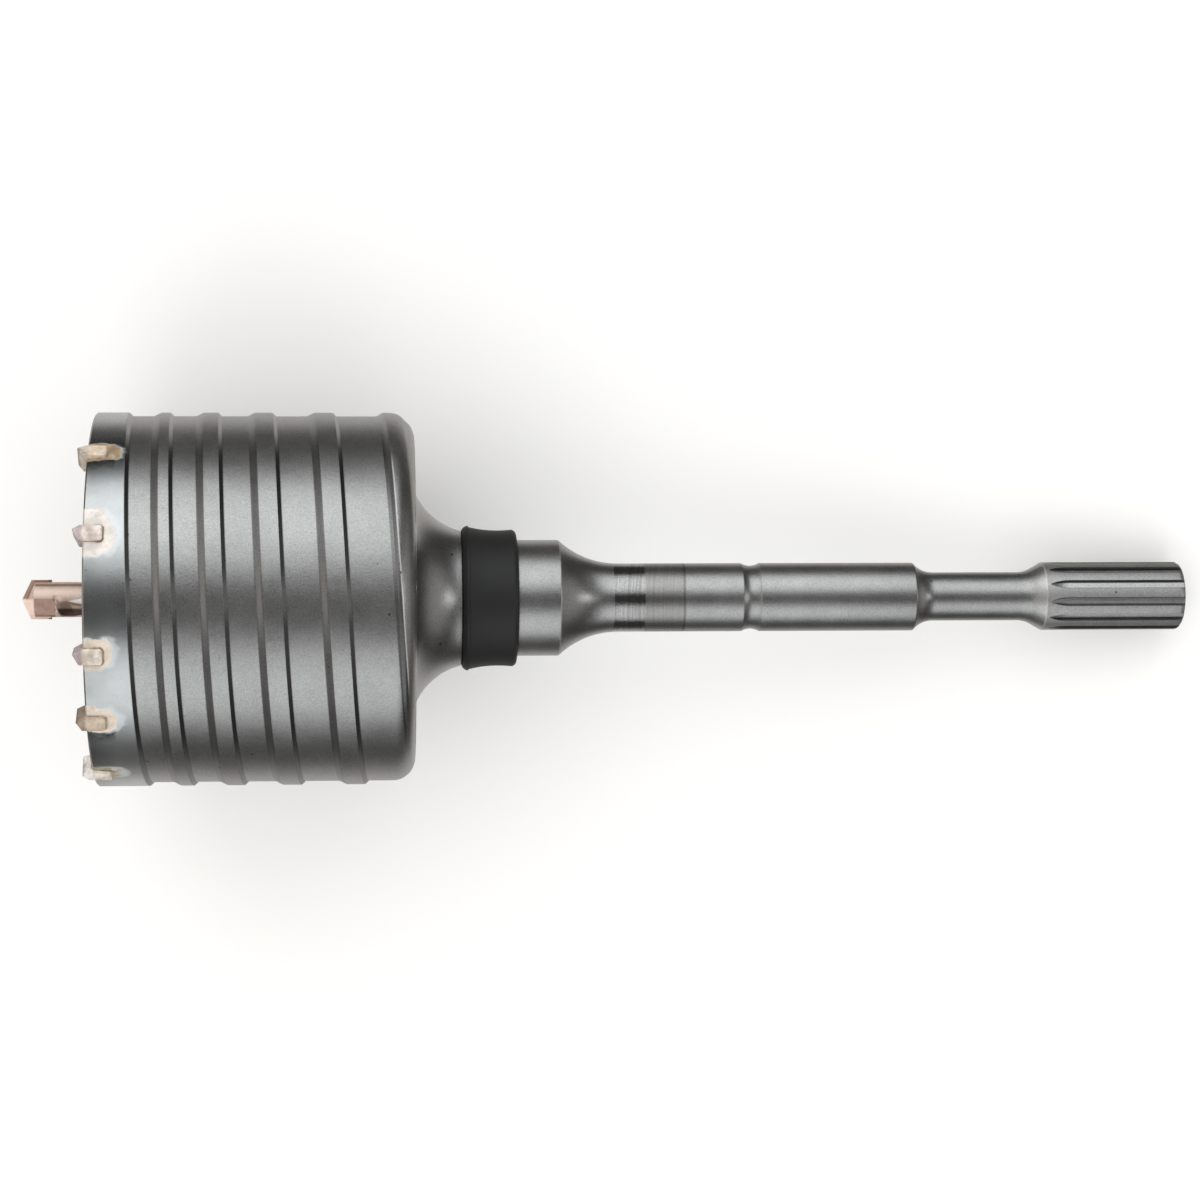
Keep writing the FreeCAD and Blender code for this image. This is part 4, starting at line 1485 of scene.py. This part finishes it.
    def _heat_marks(self, surface: Surface, colour: Term, roughness: Term) -> tuple[Term, Term]:
        """Polish a band behind the taper, as a guide wears it, and tint the steel behind it.

        Args:
            surface: The material.
            colour: The colour so far.
            roughness: The roughness so far.

        Returns:
            The new colour and roughness.
        """
        streaks = surface.noise(*self.streaks, self.streak_stretch)
        wave = surface.noise(*self.wave) - 0.5
        along = surface.along + wave * 0.8
        start, stop = self.polished
        fade = (stop, stop - self.polished_end)
        band = surface.between(along, (start, start + self.polished_start), fade)
        tail = surface.between(along, fade[::-1], self.heated_end)
        line = surface.ramp(abs(along - self.line_place), *self.line_width)
        wear_and_painted_light = surface.ramp(streaks, 0.42, 0.62)
        colour = surface.tint(band * (wear_and_painted_light * 0.35 + 0.15), colour, self.polished_colour)
        colour = surface.tint(tail * (wear_and_painted_light * 0.3 + 0.25), colour, self.heated_colour)
        colour = surface.tint(line * 0.45, colour, self.line_colour)
        return colour, surface.mix(band, roughness, self.polished_roughness)


@dataclass(frozen=True)
class SinteredCarbide:
    """Carbide with a braze film on its faces, whose tone differs from tooth to tooth."""

    ring: ToothRing
    rib_radius: float
    plain_colour: Colour = (0.6, 0.5, 0.45)
    worn_colour: Colour = (0.16, 0.11, 0.09)
    tarnish_colour: Colour = (0.30, 0.22, 0.15)
    grime: Noise = (420.0, 4.0, 0.7)
    smear: Noise = (180.0, 3.0, 0.6)
    tip_reach: Span = (0.4, -0.5)
    wear_and_painted_light_reach: Span = (-0.3, -1.2)
    tooth_reach: Span = (4.6, 4.2)
    metallic: Span = (0.15, 0.55)
    roughness: Span = (0.38, 0.6)
    grain_depth: float = 0.0001

    def make(self, lie: Lie) -> bpy.types.Material:
        """Make the material.

        Args:
            lie: How the bit lies.

        Returns:
            The material.
        """
        surface = Surface("carbide", lie)
        grime = surface.noise(*self.grime)
        smear = surface.noise(*self.smear)
        colour: Union[Term, Colour] = self.plain_colour
        tip = surface.ramp(surface.along, *self.tip_reach)
        wear_and_painted_light = surface.ramp(surface.along + grime * 3.0, *self.wear_and_painted_light_reach)
        for tooth in self.ring.teeth:
            across = surface.tooth_offset(tooth.angle, self.rib_radius)
            near = surface.ramp(abs(across), *self.tooth_reach)
            shown = surface.tint(tip, tooth.face, tooth.tip)
            colour = surface.tint(near, colour, surface.tint(wear_and_painted_light * 0.75, shown, self.worn_colour))
        tarnish = surface.ramp(smear, 0.52, 0.72)
        colour = surface.tint(tarnish * 0.5, colour, self.tarnish_colour)
        surface.feed("Base Color", surface.shaded(colour, grime * 1.3 + 0.35))
        surface.feed("Metallic", surface.ramp(smear, 0.3, 0.7, *self.metallic))
        surface.feed("Roughness", surface.ramp(grime, 0.3, 0.7, *self.roughness))
        surface.bump(grime, self.grain_depth, 0.6)
        return surface.material


@dataclass(frozen=True)
class BrazeFiller:
    """Tarnished filler metal, brown in the joint."""

    light: Colour = (0.60, 0.49, 0.37)
    dark: Colour = (0.20, 0.13, 0.08)
    grime: Noise = (500.0, 4.0, 0.7)
    metallic: float = 0.4
    roughness: Span = (0.42, 0.65)
    grain_depth: float = 0.0001

    def make(self, lie: Lie) -> bpy.types.Material:
        """Make the material.

        Args:
            lie: How the bit lies.

        Returns:
            The material.
        """
        surface = Surface("braze", lie)
        grime = surface.noise(*self.grime)
        surface.feed("Base Color", surface.tint(surface.ramp(grime, 0.35, 0.65), self.dark, self.light))
        surface.feed("Metallic", self.metallic)
        surface.feed("Roughness", surface.ramp(grime, 0.3, 0.7, *self.roughness))
        surface.bump(grime, self.grain_depth, 0.6)
        return surface.material


@dataclass(frozen=True)
class RingRubber:
    """Even black rubber with a fine grain."""

    colour: Colour = (0.013, 0.013, 0.013)
    roughness: float = 0.55
    grain: Noise = (2000.0, 3.0, 0.6)
    spread: float = 0.3
    grain_depth: float = 0.00003

    def make(self, lie: Lie) -> bpy.types.Material:
        """Make the material.

        Args:
            lie: How the bit lies.

        Returns:
            The material.
        """
        surface = Surface("black_rubber", lie)
        grain = surface.noise(*self.grain)
        surface.feed("Metallic", 0.0)
        surface.feed("Base Color", surface.shaded(self.colour, grain * self.spread + (1 - self.spread / 2)))
        surface.feed("Roughness", self.roughness)
        surface.bump(grain, self.grain_depth, 0.5)
        return surface.material


@dataclass
class Teeth:
    """The ten carbide teeth, roof-pointed, and the braze round each."""

    ring: ToothRing
    rib_radius: float
    cavity_radius: float
    bevel: float = 0.28
    bevel_steps: int = 3
    divisions: int = 2
    tooth_lumps: Lumps = (0.07, 0.9, 3.0)
    rim_round: float = 0.6
    bead_radius: float = 0.36
    bead_step: float = 0.35
    bead_sides: int = 10
    bead_lumps: Lumps = (0.16, 0.8, 5.0)
    sharp_angle: float = 40.0

    def build_teeth(self, finish: bpy.types.Material) -> bpy.types.Mesh:
        """Make the ten teeth.

        Args:
            finish: The mesh's material.

        Returns:
            The teeth as one mesh.
        """
        ring = self.ring
        front = [
            (ring.leading_drop - ring.tooth_reach, ring.tooth_half),
            (-ring.tooth_reach, ring.tooth_ridge),
            (ring.trailing_drop - ring.tooth_reach, -ring.tooth_half),
        ]
        outline = rounded_block(front, ring.tooth_seat, ring.tooth_half, ring.tooth_corner)
        plain = prism(outline, ring.inside, ring.outside, "tooth")
        tooth = new_object("tooth_block", finished(plain, self.bevel, self.bevel_steps, self.divisions))
        graph = ShapeGraph("teeth_round_the_rim")
        copies = ring.repeated(graph, graph.source("Tooth", tooth))
        mesh = graph.mesh(graph.roughened(copies, *self.tooth_lumps), "teeth", finish)
        bpy.data.objects.remove(tooth)
        smoothed(mesh, self.sharp_angle)
        return mesh

    def seam_path(self) -> list[tuple[float, float, float]]:
        """List the points of the joint line round one tooth, over the rim's both faces.

        Returns:
            The points, in order.
        """
        ring = self.ring
        half = (ring.slot_half + ring.tooth_half) / 2
        length = (ring.slot_depth + ring.tooth_seat) / 2
        corner = (ring.slot_corner + ring.tooth_corner) / 2
        track = [(0.0, -half)] + rounded_block([], length, half, corner) + [(0.0, half)]
        outer = []
        for along, across in track:
            out = self.rib_radius - max(0.0, self.rim_round - along)
            outer.append((along, across, math.sqrt(out ** 2 - across ** 2)))
        inner = [(along, across, math.sqrt(self.cavity_radius ** 2 - across ** 2))
                 for along, across in reversed(track)]
        return outer + inner

    def build_braze(self, finish: bpy.types.Material) -> bpy.types.Mesh:
        """Run a lumpy bead of braze along the joint round each tooth.

        Args:
            finish: The mesh's material.

        Returns:
            The beads as one mesh.
        """
        curve = bpy.data.curves.new("seam", "CURVE")
        curve.dimensions = "3D"
        path = self.seam_path()
        line = curve.splines.new("POLY")
        line.points.add(len(path) - 1)
        for point, place in zip(line.points, path):
            point.co = (*place, 1.0)
        line.use_cyclic_u = True
        seam = new_object("seam_path", curve)
        graph = ShapeGraph("braze_round_the_rim")
        bead = graph.size("Bead radius", self.bead_radius)
        even = graph.term("GeometryNodeResampleCurve", {"mode": "LENGTH"},
                          {"Curve": graph.source("Seam", seam), "Length": self.bead_step})
        profile = graph.term("GeometryNodeCurvePrimitiveCircle", None,
                             {"Resolution": self.bead_sides, "Radius": bead})
        tube = graph.term("GeometryNodeCurveToMesh", None, {"Curve": even, "Profile Curve": profile})
        rough = graph.roughened(self.ring.repeated(graph, tube), *self.bead_lumps)
        mesh = graph.mesh(rough, "braze", finish)
        bpy.data.objects.remove(seam)
        smoothed(mesh, 180)
        return mesh

    def dress(self, lie: Lie) -> None:
        """Build the teeth and the braze in their finishes and lay them down.

        Args:
            lie: How the bit lies.
        """
        carbide = SinteredCarbide(self.ring, self.rib_radius).make(lie)
        braze = BrazeFiller().make(lie)
        names = self.ring.names
        lie.piece("rim_teeth", self.build_teeth(carbide), carbide, names("carbide_tooth"))
        lie.piece("rim_braze", self.build_braze(braze), braze, names("braze_seam"))


@dataclass
class PilotDrill:
    """The copper-coated drill in the cup's middle, with two flutes and a ground flat behind its plate."""

    nose: float = -19.6
    end: float = 103.6
    radius: float = 4.85
    point_angle: float = 129.0
    point_run: float = 13.6
    middle_run: float = 6.0
    rows: tuple[int, ...] = (110, 30, 90, 14)
    columns: int = 160
    seat_start: float = 67.6
    seat_full: float = 73.6
    seat_radius: float = 5.33
    end_radius: float = 4.58
    flat_turn: float = -28.0
    flat_radius: float = 4.1
    flat_end: float = -11.8
    flat_run_out: float = 1.2
    flat_limit: float = 0.2
    flute_turn: float = -42.0
    flute_start: float = -12.3
    flute_slant: float = 0.026
    flute_depth: float = 2.5
    flute_half: float = 48.0
    flute_run_in: float = 3.4
    flute_swell: float = 0.6
    flute_end: float = 54.0
    flute_run_out: float = 8.0
    flute_twist: float = 2.0
    flute_lead: float = 40.0
    straight_middle: float = -8.0
    straight_end: float = -4.0
    slot_back: float = -12.9
    slot_half: float = 1.2
    margin: float = 1.0
    sharp_angle: float = 25.0

    def build(self, finish: bpy.types.Material) -> bpy.types.Mesh:
        """Make the drill and cut the slot that holds its plate.

        Args:
            finish: The mesh's material.

        Returns:
            The drill's mesh.
        """
        graph = ShapeGraph("pilot")
        radius = graph.size("Radius", self.radius)
        deep = graph.size("Flute depth", self.flute_depth)
        flat = graph.size("Flat radius", self.flat_radius)
        half = graph.size("Flute half angle", math.radians(self.flute_half))
        shank_run = self.seat_start - self.nose - self.point_run - self.middle_run
        spans = zip(self.rows, (self.point_run, self.middle_run, shank_run, self.end - self.seat_start))
        stations = sum(self.rows) + 2
        grid, station, column = graph.sheet(stations, self.columns)
        along = graph.steps(station, self.nose, spans)
        angle = math.pi / 2 - column * (2 * math.pi / self.columns)

        cone = (along - self.nose) * math.tan(math.radians(self.point_angle / 2))
        out = graph.ramp(along, self.seat_start, self.seat_full, radius, self.seat_radius)
        out = graph.ramp(along, self.seat_full, self.end, 0.0, self.end_radius - self.seat_radius) + out
        off = (angle + (math.pi / 2 - math.radians(self.flat_turn))) % math.pi - math.pi / 2
        ground = flat / graph.math("MAXIMUM", graph.math("COSINE", off), self.flat_limit)
        run_out = self.flat_run_out
        ground = graph.ramp(along, self.flat_end, self.flat_end + run_out, 0.0, run_out) + ground
        out = graph.math("MINIMUM", graph.math("MINIMUM", out, cone), ground)
        out = out - self._groove(graph, along, angle, half) * deep

        closed = graph.math("GREATER_THAN", station, stations - 1.5)
        out = graph.math("MAXIMUM", out * (1.0 - closed), 0.0)
        body = joined("pilot", [graph.turned(grid, (along, out, angle), "pilot", finish)], merge=1e-3)
        reach = self.radius + self.margin
        start, stop = self.nose - self.margin, self.slot_back
        outline = [(start, -reach), (stop, -reach), (stop, reach), (start, reach)]
        cut = cut_away(body, prism(outline, -self.slot_half, self.slot_half, "plate_slot"))
        smoothed(cut, self.sharp_angle)
        return cut

    def _groove(self, graph: ShapeGraph, along: Term, angle: Term, half: Term) -> Term:
        """Work out how deep the two flutes are at each point, as a share of their full depth.

        Args:
            graph: The drill's tree.
            along: Each point's place along the axis.
            angle: Its angle.
            half: Half the angle that a flute takes up.

        Returns:
            The share, 0 outside the flutes.
        """
        twist = (along - self.straight_middle) * -math.radians(self.flute_twist)
        wound = graph.math("MAXIMUM", along - self.straight_end, 0.0) * (-2 * math.pi / self.flute_lead)
        middle = twist + wound + math.radians(self.flute_turn)
        share = ((angle - middle + math.pi / 2) % math.pi - math.pi / 2) / half
        groove = graph.math("MAXIMUM", 1.0 - share * share, 0.0)
        below = (1.0 - share) * math.degrees(1.0) * half * self.flute_slant
        begun = graph.ramp(along - below, self.flute_start, self.flute_start + self.flute_run_in)
        ended = graph.ramp(along, self.flute_end, self.flute_end - self.flute_run_out)
        return groove * (graph.math("POWER", begun, self.flute_swell) * ended)

    def dress(self, lie: Lie) -> None:
        """Build the drill in its finish, lay it down and coat the plate at its point.

        Args:
            lie: How the bit lies.
        """
        copper = CopperCoat(CopperPart.DRILL, self).make(lie)
        lie.piece("pilot_body", self.build(copper), copper, ["pilot_drill"])
        lie.coat("pilot_tip_plate", CopperCoat(CopperPart.PLATE, self).make(lie))


class CopperPart(Enum):
    """The two copper-coated pieces, by their finish's name."""

    DRILL = "copper_coat"
    PLATE = "coated_carbide"


@dataclass(frozen=True)
class CopperCoat:
    """Thin copper, pale, with a brown line near the drill's top, painted shade in brown and dark, and
    painted light where it is dull.
    """

    part: CopperPart
    drill: PilotDrill
    pale: Colour = (0.92, 0.72, 0.62)
    mauve: Colour = (0.36, 0.19, 0.15)
    brown: Colour = (0.34, 0.17, 0.10)
    white: Colour = (0.92, 0.93, 0.95)
    dark: Colour = (0.06, 0.035, 0.03)
    grime: Noise = (600.0, 4.0, 0.7)
    metallic: Span = (0.62, 0.15)
    roughness: Span = (0.40, 0.52)
    grain_depth: float = 0.00005
    chip_start: Span = (-13.7, -13.4)
    chip_out: Span = (4.9, 5.1)
    flat_back: Span = (-11.4, -11.8)
    flat_front: Span = (-17.5, -17.2)
    band_height: float = 3.95
    band_width: Span = (0.5, 0.1)
    band_front: Span = (-17.4, -16.8)
    flute_front: Span = (-12.0, -11.0)
    flute_depth: Span = (0.9, 1.4)
    flute_floor: Span = (-2.0, -2.6)
    glint_tip: float = -8.4
    glint_height: float = -0.5
    glint_slope: float = 0.21
    glint_front: Span = (-8.4, -7.6)
    glint_back: Span = (-2.0, -3.5)
    point_back: Span = (-17.0, -17.4)

    def make(self, lie: Lie) -> bpy.types.Material:
        """Make the material.

        Args:
            lie: How the bit lies.

        Returns:
            The material.
        """
        surface = Surface(self.part.value, lie)
        grime = surface.noise(*self.grime)
        seen = surface.up * surface.math("SIGN", surface.front)
        if self.part is CopperPart.PLATE:
            colour, diffuse = self._plate(surface, seen, grime)
        else:
            colour, diffuse = self._drill(surface, seen, grime)
        surface.feed("Metallic", surface.mix(diffuse, *self.metallic))
        surface.feed("Base Color", surface.shaded(colour, grime * 0.5 + 0.75))
        surface.feed("Roughness", surface.ramp(grime, 0.3, 0.7, *self.roughness))
        surface.bump(grime, self.grain_depth, 0.5)
        return surface.material

    def _plate(self, surface: Surface, seen: Term, grime: Term) -> tuple[Term, Term]:
        """Colour the plate: painted shade in brown on its upper half, painted light on its dull lower half,
        and chips at its back corners.

        Args:
            surface: The material.
            seen: Height over the axis, for the side that is seen.
            grime: Noise that frays the marks.

        Returns:
            The colour, and a mask of what is dull.
        """
        # Painted shade: the plate's upper half is tinted brown.
        lip = surface.ramp(seen + grime * 0.5, 0.3, 0.7)
        colour = surface.tint(lip * 0.75, self.pale, self.brown)
        chips = surface.ramp(surface.along, *self.chip_start) * surface.ramp(abs(surface.up), *self.chip_out)
        # Painted light: the lower half is dull, so the room light makes it pale.
        return surface.tint(chips * 0.9, colour, self.dark), surface.ramp(seen, 0.2, -0.2)

    def _drill(self, surface: Surface, seen: Term, grime: Term) -> tuple[Term, Term]:
        """Colour the drill: its ground flat, its edge, painted shade in its flute, a painted glint at the
        flute's edge and painted light on the point's lower side.

        Args:
            surface: The material.
            seen: Height over the axis, for the side that is seen.
            grime: Noise that frays the marks.

        Returns:
            The colour, and a mask of what is dull.
        """
        along = surface.along
        sunk = self.drill.radius - surface.radius()
        flat = surface.ramp(seen, 0.5, 0.1) * surface.between(along, self.flat_back, self.flat_front)
        colour = surface.tint(flat * (grime * 0.8 + 0.35), self.pale, self.mauve)
        band = surface.ramp(abs(seen - self.band_height), *self.band_width)
        band = band * surface.ramp(along, *self.band_front)
        colour = surface.tint(band * 0.8, colour, self.brown)
        # Painted shade: brown where the flute is sunk, and dark low down in it.
        fluted = surface.ramp(along, *self.flute_front)
        flute = surface.ramp(sunk, *self.flute_depth) * fluted
        colour = surface.tint(flute * 0.6, colour, self.brown)
        deep = surface.ramp(seen + grime * 0.4, *self.flute_floor) * surface.ramp(sunk, 0.15, 0.4)
        colour = surface.tint(deep * fluted * 0.92, colour, self.dark)
        # Painted highlight: a pale, dull glint along the flute's edge.
        spread = abs(seen - self.glint_height) - (along - self.glint_tip) * self.glint_slope
        glint = surface.ramp(spread, 0.08, -0.15)
        glint = glint * surface.between(along, self.glint_front, self.glint_back)
        colour = surface.tint(glint * 0.9, colour, self.white)
        # Painted light: the point's lower side is dull, so the room light makes it pale.
        point = surface.ramp(seen, 0.3, -0.1) * surface.ramp(along, *self.point_back)
        return colour, surface.math("MAXIMUM", point, glint)


@dataclass
class DustRing:
    """The rubber ring on the neck."""

    front: float = 99.65
    back: float = 114.85
    bore: float = 15.65
    bead_radius: float = 20.1
    bead: float = 1.9
    bead_step: float = 0.32
    bead_run: float = 0.1
    bead_foot: float = 0.05
    waist: float = 109.5
    waist_radius: float = 18.8
    land_radius: float = 19.0
    corner: float = 1.4
    columns: int = 180
    sharp_angle: float = 50.0

    def build(self) -> bpy.types.Mesh:
        """Turn the ring, closed all round.

        Returns:
            The ring's mesh.
        """
        outline = Outline(self.front, self.bore)
        outline.to(self.front, self.bead_radius - self.bead)
        crest = self.front + self.bead
        outline.arc(crest, self.bead_radius, (crest, self.bead_radius - self.bead), 10)
        outline.to(crest + self.bead_run, self.bead_radius - self.bead_step, self.bead_foot)
        self._hollow(outline, self.waist, self.waist_radius)
        shoulder = self.back - self.corner
        self._hollow(outline, shoulder, self.land_radius)
        corner_out = self.land_radius - self.corner
        outline.arc(self.back, corner_out, (shoulder, corner_out), 8)
        outline.to(self.back, self.bore).to(self.front, self.bore)
        mesh = joined("ring", [lathed(outline.softened(), self.columns)], merge=1e-3)
        smoothed(mesh, self.sharp_angle)
        return mesh

    @staticmethod
    def _hollow(outline: Outline, along: float, out: float) -> None:
        """Draw a hollow whose centre lies over the waist.

        Args:
            outline: The outline so far.
            along: Where the hollow ends along the axis.
            out: The radius where it ends.
        """
        start_along, start_out, _ = outline.points[-1]
        low_along, low_out = (along, out) if out < start_out else (start_along, start_out)
        far_along, far_out = (start_along, start_out) if out < start_out else (along, out)
        run = far_along - low_along
        rise = far_out - low_out
        radius = (run ** 2 + rise ** 2) / (2 * rise)
        outline.arc(along, out, (low_along, low_out + radius), 14)

    def dress(self, lie: Lie) -> None:
        """Build the ring in its finish and lay it down."""
        rubber = RingRubber().make(lie)
        lie.piece("rubber_ring", self.build(), rubber, ["dust_ring"])


@dataclass(frozen=True)
class Strip:
    """A strip light along the bit: its angle round the axis from the camera, width and brightness."""

    name: str
    angle: float
    width: float
    brightness: float


@dataclass
class Studio:
    """The pale floor, the two strip lights, the end card, the room and the camera."""

    lie: Lie
    camera_along: float = 73.4
    aim_along: float = 138.4
    distance: float = 837.0
    drop: float = -0.66
    rise: float = 0.207
    focal_pixels: float = 3009.0
    sensor: float = 36.0
    floor_side: float = 6.0
    floor_colour: Colour = (0.93, 0.93, 0.93)
    room_colour: Colour = (1.0, 0.975, 0.94)
    room_light: float = 0.88
    room_dark: float = 0.05
    room_floor: float = 0.62
    room_front: float = 0.62
    room_back: float = 0.27
    floor_side_height: Span = (0.1, -0.1)
    floor_starts: Span = (-0.56, -0.45)
    floor_ends: Span = (-0.80, -0.92)
    front_reach: Span = (-0.45, -0.75)
    back_reach: Span = (0.78, 0.96)
    end_height: Span = (-0.5, 0.0)
    strips: tuple[Strip, ...] = (
        Strip("strip_upper", angle=47.5, width=1.22, brightness=1.17),
        Strip("strip_lower", angle=-54.0, width=1.07, brightness=0.9),
    )
    strip_length: float = 1.36
    strip_fade: Span = (0.86, 0.95)
    strip_end: float = 0.1
    strip_edge: float = 0.45
    card_angle: float = 50.0
    card_along: float = 112.0
    card_size: Point = (0.32, 0.26)
    card_brightness: float = 2.6
    card_fade: Span = (0.2, 0.5)
    light_distance: float = 0.9
    light_colour: Colour = (0.965, 1.0, 1.01)

    def set_up(self) -> None:
        """Make the whole studio."""
        self._floor()
        self._camera()
        for strip in self.strips:
            self._hang_strip(strip)
        self._end_card()
        self._world()
        bpy.context.scene.view_settings.view_transform = "Standard"

    def _on_bit(self, along: float, up: float = 0.0, out: float = 0.0) -> Vector:
        """Place a point that is given in the bit's own millimetres."""
        return self.lie.to_world @ Vector((along, up, out))

    def _direction(self, along: float, up: float, out: float) -> Vector:
        """Turn a direction that is given on the bit's own axes."""
        return (self.lie.to_world.to_3x3().normalized() @ Vector((along, up, out))).normalized()

    def _world(self) -> None:
        """Light the scene from all round, while polished metal mirrors a darker room."""
        world = bpy.data.worlds.new("studio")
        bpy.context.scene.world = world
        world.use_nodes = True
        world.cycles.sampling_method = "NONE"
        graph = Graph(world.node_tree)
        direction = graph.term("ShaderNodeTexCoord", None, None, "Generated")
        height = graph.dot(direction, self._direction(0, 0, 1))
        upwards = graph.dot(direction, self._direction(0, 1, 0))
        lower = graph.ramp(upwards, *self.floor_side_height)
        start = graph.mix(lower, *self.floor_starts)
        end = graph.mix(lower, *self.floor_ends)
        below = graph.ramp(height, start, end, self.room_dark, self.room_floor, smooth=True)
        lengthwise = graph.term("ShaderNodeSeparateXYZ", None, {0: direction}, "X")
        ends = graph.ramp(lengthwise, *self.front_reach, 0.0, self.room_front, smooth=True)
        ends = graph.ramp(lengthwise, *self.back_reach, 0.0, self.room_back, smooth=True) + ends
        mirrored = ends * graph.ramp(height, *self.end_height) + below
        glossy = graph.term("ShaderNodeLightPath", None, None, "Is Glossy Ray")
        background = world.node_tree.nodes["Background"]
        background.inputs["Color"].default_value = (*self.room_colour, 1.0)
        graph.link(graph.mix(glossy, self.room_light, mirrored), background.inputs["Strength"])

    def _floor(self) -> None:
        """Lay the floor."""
        half = self.floor_side / 2
        mesh = bpy.data.meshes.new("floor")
        corners = [(-half, -half, 0), (half, -half, 0), (half, half, 0), (-half, half, 0)]
        mesh.from_pydata(corners, [], [(0, 1, 2, 3)])
        material = bpy.data.materials.new("pale_floor")
        material.use_nodes = True
        shader = material.node_tree.nodes["Principled BSDF"]
        shader.inputs["Base Color"].default_value = (*self.floor_colour, 1.0)
        shader.inputs["Roughness"].default_value = 0.9
        mesh.materials.append(material)
        floor = new_object("floor", mesh)
        floor.visible_glossy = False

    @staticmethod
    def _aim(item: bpy.types.Object, place: Vector, target: Vector, up: Vector) -> None:
        """Put an object at a place so that its -Z looks at a target.

        Args:
            item: The object.
            place: Where it goes.
            target: What it looks at.
            up: Which way its top points.
        """
        back = (place - target).normalized()
        right = up.cross(back).normalized()
        turned = Matrix((right, back.cross(right), back)).transposed()
        item.matrix_world = Matrix.Translation(place) @ turned.to_4x4()

    def _camera(self) -> None:
        """Set the camera at the photograph's viewing angle."""
        data = bpy.data.cameras.new("camera")
        data.sensor_width = self.sensor
        data.lens = self.focal_pixels / PHOTO_SIDE * self.sensor
        camera = new_object("camera", data)
        place = self._on_bit(self.camera_along, self.drop, self.distance)
        target = self._on_bit(self.aim_along, self.drop)
        roll = math.radians(self.rise)
        self._aim(camera, place, target, self._direction(math.sin(roll), math.cos(roll), 0))
        bpy.context.scene.camera = camera

    def _hang_strip(self, strip: Strip) -> None:
        """Hang a strip light, weaker towards its long edges and its far end.

        Args:
            strip: The strip.
        """
        lamp = self._lamp(strip.name, self.strip_length, strip.width, strip.brightness)
        graph = Graph(lamp.data.node_tree)
        length_share, across = self._spot(graph)
        edge = abs(across - 0.5) * 2.0
        strength = graph.ramp(edge, 0.3, 1.0, 1.0, self.strip_edge, smooth=True)
        strength = strength * graph.ramp(length_share, *self.strip_fade, 1.0, self.strip_end)
        graph.link(strength, graph.tree.nodes["Emission"].inputs["Strength"])
        turn = math.radians(strip.angle)
        back = self._direction(0.0, math.sin(turn), math.cos(turn))
        self._hang(lamp, self.camera_along, back, back.cross(self._direction(1, 0, 0)))

    def _end_card(self) -> None:
        """Hang a small soft card towards the spline end, which the cup's flare mirrors."""
        lamp = self._lamp("end_card", *self.card_size, self.card_brightness)
        graph = Graph(lamp.data.node_tree)
        sides = [share - 0.5 for share in self._spot(graph)]
        off = graph.math("SQRT", sides[0] * sides[0] + sides[1] * sides[1])
        strength = graph.ramp(off, *self.card_fade, 1.0, 0.0, smooth=True)
        graph.link(strength, graph.tree.nodes["Emission"].inputs["Strength"])
        turn = math.radians(self.card_angle)
        back = self._direction(math.sin(turn), 0.0, math.cos(turn))
        self._hang(lamp, self.card_along, back, self._direction(0, 1, 0))

    def _lamp(self, name: str, length: float, width: float, brightness: float) -> bpy.types.Object:
        """Make an area light of an even brightness whose strength a node tree can shape.

        Args:
            name: The light's name.
            length: Its length.
            width: Its width.
            brightness: Its brightness.

        Returns:
            The light.
        """
        data = bpy.data.lights.new(name, "AREA")
        data.shape = "RECTANGLE"
        data.size, data.size_y = length, width
        data.energy = brightness * math.pi * length * width
        data.color = self.light_colour
        data.use_nodes = True
        return new_object(name, data)

    @staticmethod
    def _spot(graph: Graph) -> list[Term]:
        """Read how far along and across a light the shaded spot lies, as shares of its sides."""
        spot = graph.term("ShaderNodeNewGeometry", None, None, "Parametric")
        return [graph.term("ShaderNodeSeparateXYZ", None, {0: spot}, axis) for axis in "XY"]

    def _hang(self, lamp: bpy.types.Object, along: float, back: Vector, up: Vector) -> None:
        """Hang a light off a place on the bit's axis, in a direction away from it."""
        target = self._on_bit(along)
        self._aim(lamp, target + back * self.light_distance, target, up)


def main() -> None:
    """Build and dress every piece, then set up the studio."""
    logging.basicConfig(level=logging.INFO, format="%(name)s %(message)s")
    ring = ToothRing()
    body = CutterBody(ring)
    lie = Lie.of_frame(body.bit_end, body.spline_turn)
    teeth = Teeth(ring, body.rib_radius, body.cavity_radius)
    for part in (body, teeth, DustRing(), PilotDrill()):
        part.dress(lie)
    Studio(lie).set_up()


if __name__ == "__main__":
    main()
